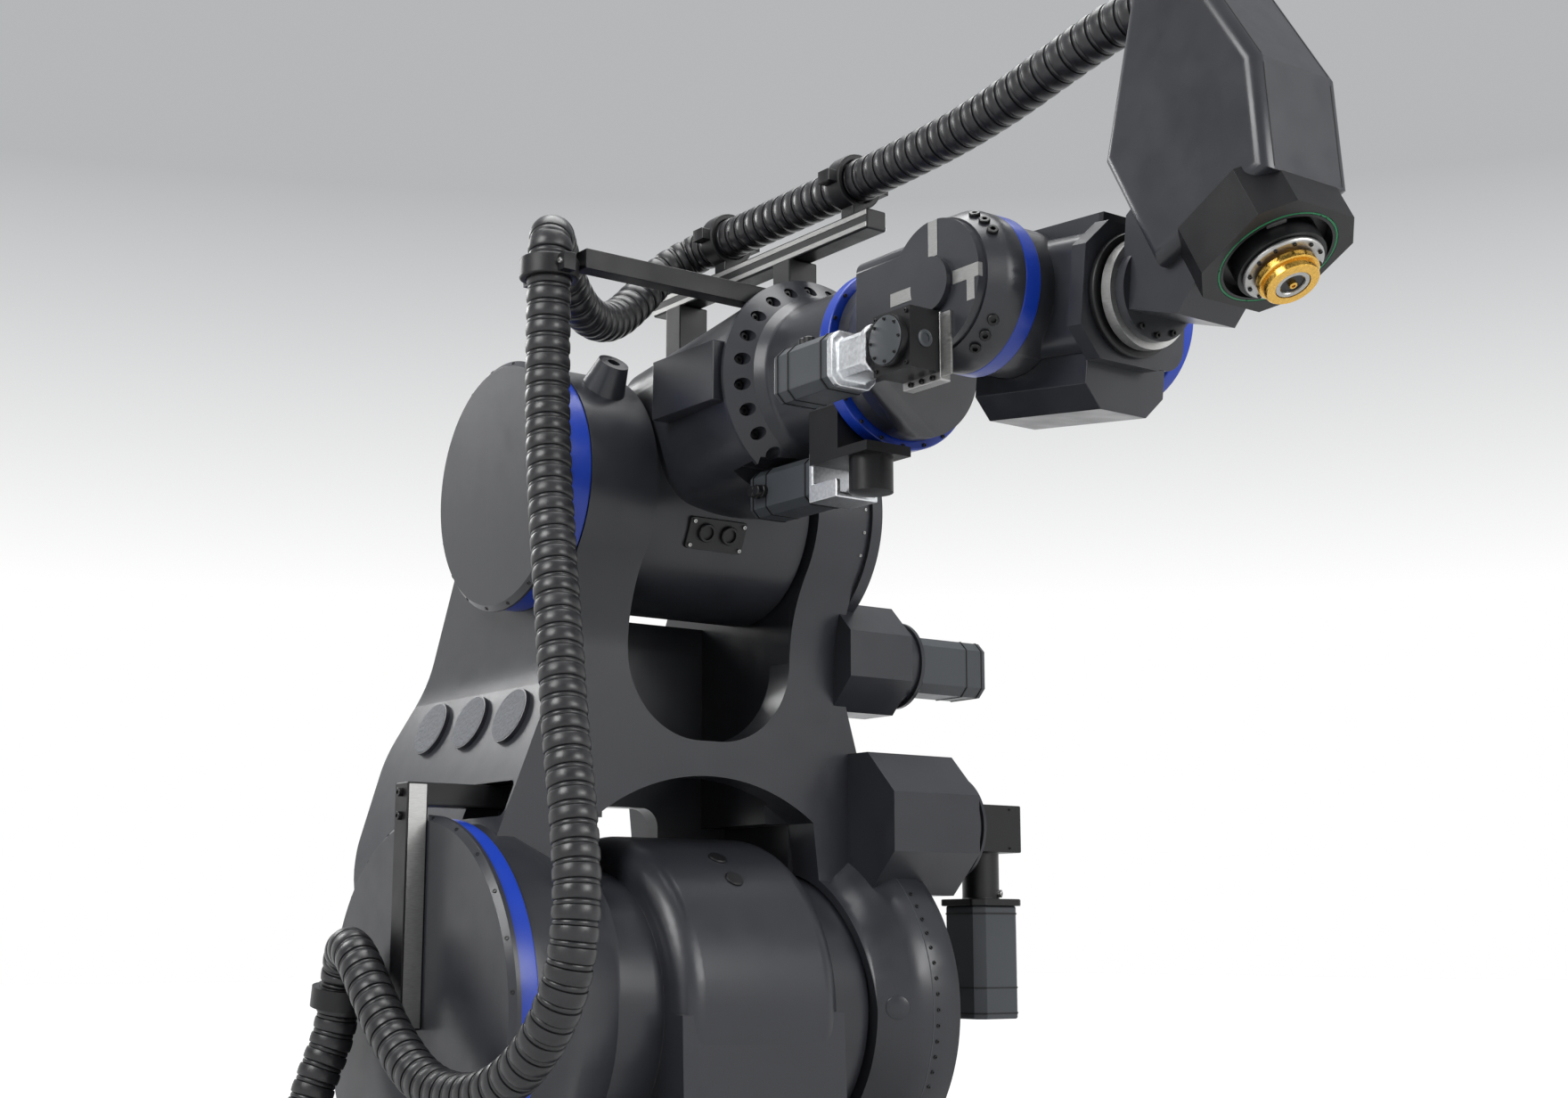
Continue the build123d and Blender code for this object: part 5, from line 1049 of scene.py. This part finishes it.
def base():
    """Bolts of the turntable and plugs of the drum."""
    places = ring_of((0, 0, TURNTABLE_TOP), UP, TURNTABLE_RING, TURNTABLE_BOLTS)
    bolts("turntable_bolts", places, TURNTABLE_BOLT_HEAD, "carousel")
    mesh = bmesh.new()
    for angle in DRUM_PLUG_ANGLES:
        way = slanted(angle)
        lathe(mesh, axis_frame(SHOULDER + way * DRUM_PLUG_REACH, way), DRUM_PLUG_PROFILE, sides=40)
    piece("drum_plugs", mesh, "black_steel", "carousel")


# Finish of the solids

ROUNDED_EDGE = 0.004
ROUNDED_EDGE_STEPS = 3
WELD_DISTANCE = 0.00002
SHARP_ANGLE = 38


def finish_solids():
    """Gives each solid its finish and small rounded edges."""
    for solid in frame["nodes"].values():
        slot = solid.data.materials[0].name.split(".")[0]
        solid.material_slots[0].material = MATERIALS[slot]
        weld = solid.modifiers.new("weld", "WELD")
        weld.merge_threshold = WELD_DISTANCE
        edge = solid.modifiers.new("rounded_edges", "BEVEL")
        edge.width = ROUNDED_EDGE
        edge.segments = ROUNDED_EDGE_STEPS
        edge.limit_method = "ANGLE"
        edge.angle_limit = math.radians(SHARP_ANGLE)
        edge.use_clamp_overlap = True
        solid.modifiers.new("face_normals", "WEIGHTED_NORMAL").keep_sharp = True


# Light, floor and camera

# Lamps: name, place, the point that they face, width and length, and power
LAMPS = (
    ("key_light", (1.6, -5.6, 5.4), (0.4, 0, 1.7), (3.0, 3.0), 300),
    ("front_light", (6.5, 1.4, 4.2), (0.6, 0, 1.6), (2.4, 4.0), 250),
    ("top_light", (0.2, 0.4, 6.6), (0.5, 0, 1.5), (4.0, 4.0), 260),
    ("rim_light", (-4.4, -1.2, 4.4), (0.2, -0.3, 1.7), (1.6, 1.6), 72),
)
AMBIENT_COLOUR = (0.9, 0.94, 1.0, 1)
AMBIENT_STRENGTH = 0.40
WHITE = (1, 1, 1, 1)

# The backdrop by the height of the view: white low down, grey above
BACKDROP_STOPS = ((0.16, WHITE), (0.34, (0.46, 0.47, 0.48, 1)))

# The floor's tones and gloss, and its glow as (distance from the origin, strength)
FLOOR_HALF = 60.0
FLOOR_NOISE = 0.8
FLOOR_STOPS = ((0.3, (0.42, 0.42, 0.42, 1)), (0.7, (0.45, 0.45, 0.45, 1)))
FLOOR_ROUGHNESS = 0.6
GLOW_NEAR = (1.5, 0.32)
GLOW_FAR = (9.0, 0.84)

# The photograph's camera: width and focal length in pixels, the sensor in millimetres
PHOTO_WIDTH = 1760
FOCAL_PIXELS = 2387
SENSOR_WIDTH = 36.0
CAMERA_PLACE = (4.3195, -2.6674, 1.1914)
CAMERA_HEADING = (-0.7891, 0.5865, 0.1827)


def area_light(name, place, target, size, power):
    """A rectangular lamp that faces a point."""
    data = bpy.data.lights.new(name, "AREA")
    data.shape = "RECTANGLE"
    data.size, data.size_y = size
    data.energy = power
    lamp = bpy.data.objects.new(name, data)
    lamp.matrix_world = axis_frame(place, Vector(place) - Vector(target))
    bpy.context.scene.collection.objects.link(lamp)


def seen_rays(tree):
    """One for rays from the camera, from gloss and through glass, and zero for light on the object."""
    rays = tree.nodes.new("ShaderNodeLightPath")
    seen = rays.outputs["Is Camera Ray"]
    for name in ("Is Glossy Ray", "Is Transmission Ray"):
        either = tree.nodes.new("ShaderNodeMath")
        either.operation = "MAXIMUM"
        tree.links.new(seen, either.inputs[0])
        tree.links.new(rays.outputs[name], either.inputs[1])
        seen = either.outputs["Value"]
    return seen


def studio():
    """Soft lamps, even light from all round, and a backdrop that only seen rays show."""
    for lamp in LAMPS:
        area_light(*lamp)
    world = bpy.data.worlds.new("studio")
    bpy.context.scene.world = world
    world.use_nodes = True
    tree = world.node_tree
    ambient = tree.nodes["Background"]
    ambient.inputs["Color"].default_value = AMBIENT_COLOUR
    ambient.inputs["Strength"].default_value = AMBIENT_STRENGTH
    backdrop = tree.nodes.new("ShaderNodeBackground")
    way = tree.nodes.new("ShaderNodeTexCoord")
    split = tree.nodes.new("ShaderNodeSeparateXYZ")
    tree.links.new(way.outputs["Generated"], split.inputs["Vector"])
    tree.links.new(colour_ramp(tree, split.outputs["Z"], BACKDROP_STOPS), backdrop.inputs["Color"])
    mix = tree.nodes.new("ShaderNodeMixShader")
    tree.links.new(seen_rays(tree), mix.inputs["Fac"])
    tree.links.new(ambient.outputs["Background"], mix.inputs[1])
    tree.links.new(backdrop.outputs["Background"], mix.inputs[2])
    tree.links.new(mix.outputs["Shader"], tree.nodes["World Output"].inputs["Surface"])


def floor_material():
    """A pale floor whose glow, for seen rays alone, grows with the distance from the object."""
    nodes = Nodes("pale_floor")
    nodes.colour(nodes.noise(FLOOR_NOISE), FLOOR_STOPS)
    nodes.set("Roughness", FLOOR_ROUGHNESS)
    nodes.set("Emission Color", WHITE)
    away = nodes.tree.nodes.new("ShaderNodeVectorMath")
    away.operation = "LENGTH"
    nodes.link(nodes.place, away.inputs[0])
    rise = nodes.tree.nodes.new("ShaderNodeMapRange")
    for end, (distance, strength) in (("Min", GLOW_NEAR), ("Max", GLOW_FAR)):
        rise.inputs["From " + end].default_value = distance
        rise.inputs["To " + end].default_value = strength
    nodes.link(away.outputs["Value"], rise.inputs["Value"])
    glow = nodes.tree.nodes.new("ShaderNodeMath")
    glow.operation = "MULTIPLY"
    nodes.link(seen_rays(nodes.tree), glow.inputs[0])
    nodes.link(rise.outputs["Result"], glow.inputs[1])
    nodes.link(glow.outputs["Value"], nodes.shader.inputs["Emission Strength"])
    return nodes.material


def floor():
    """A wide floor that shows the shadow near the object and fades to white far from the lamps."""
    mesh = bmesh.new()
    outline = rectangle(2 * FLOOR_HALF, 2 * FLOOR_HALF)
    mesh.faces.new([mesh.verts.new((x, y, 0)) for x, y in outline])
    data = bpy.data.meshes.new("floor")
    mesh.to_mesh(data)
    mesh.free()
    data.materials.append(floor_material())
    made = bpy.data.objects.new("floor", data)
    bpy.context.scene.collection.objects.link(made)


def camera():
    """The camera at the photograph's viewing angle."""
    data = bpy.data.cameras.new("camera")
    data.sensor_fit = "HORIZONTAL"
    data.sensor_width = SENSOR_WIDTH
    data.lens = SENSOR_WIDTH * FOCAL_PIXELS / PHOTO_WIDTH
    eye = bpy.data.objects.new("camera", data)
    quarter_turn = Matrix.Rotation(-math.pi / 2, 4, "Z")
    eye.matrix_world = axis_frame(CAMERA_PLACE, -Vector(CAMERA_HEADING)) @ quarter_turn
    bpy.context.scene.collection.objects.link(eye)
    bpy.context.scene.camera = eye


finish_solids()
hoses()
covers()
right_leg()
ear_blends()
lower_arm()
shoulder_drive()
elbow_drive()
forearm()
connector_plate()
hose_holders()
bend_joint()
link_web()
head()
base()
studio()
floor()
camera()
bpy.context.scene.view_settings.view_transform = "Standard"
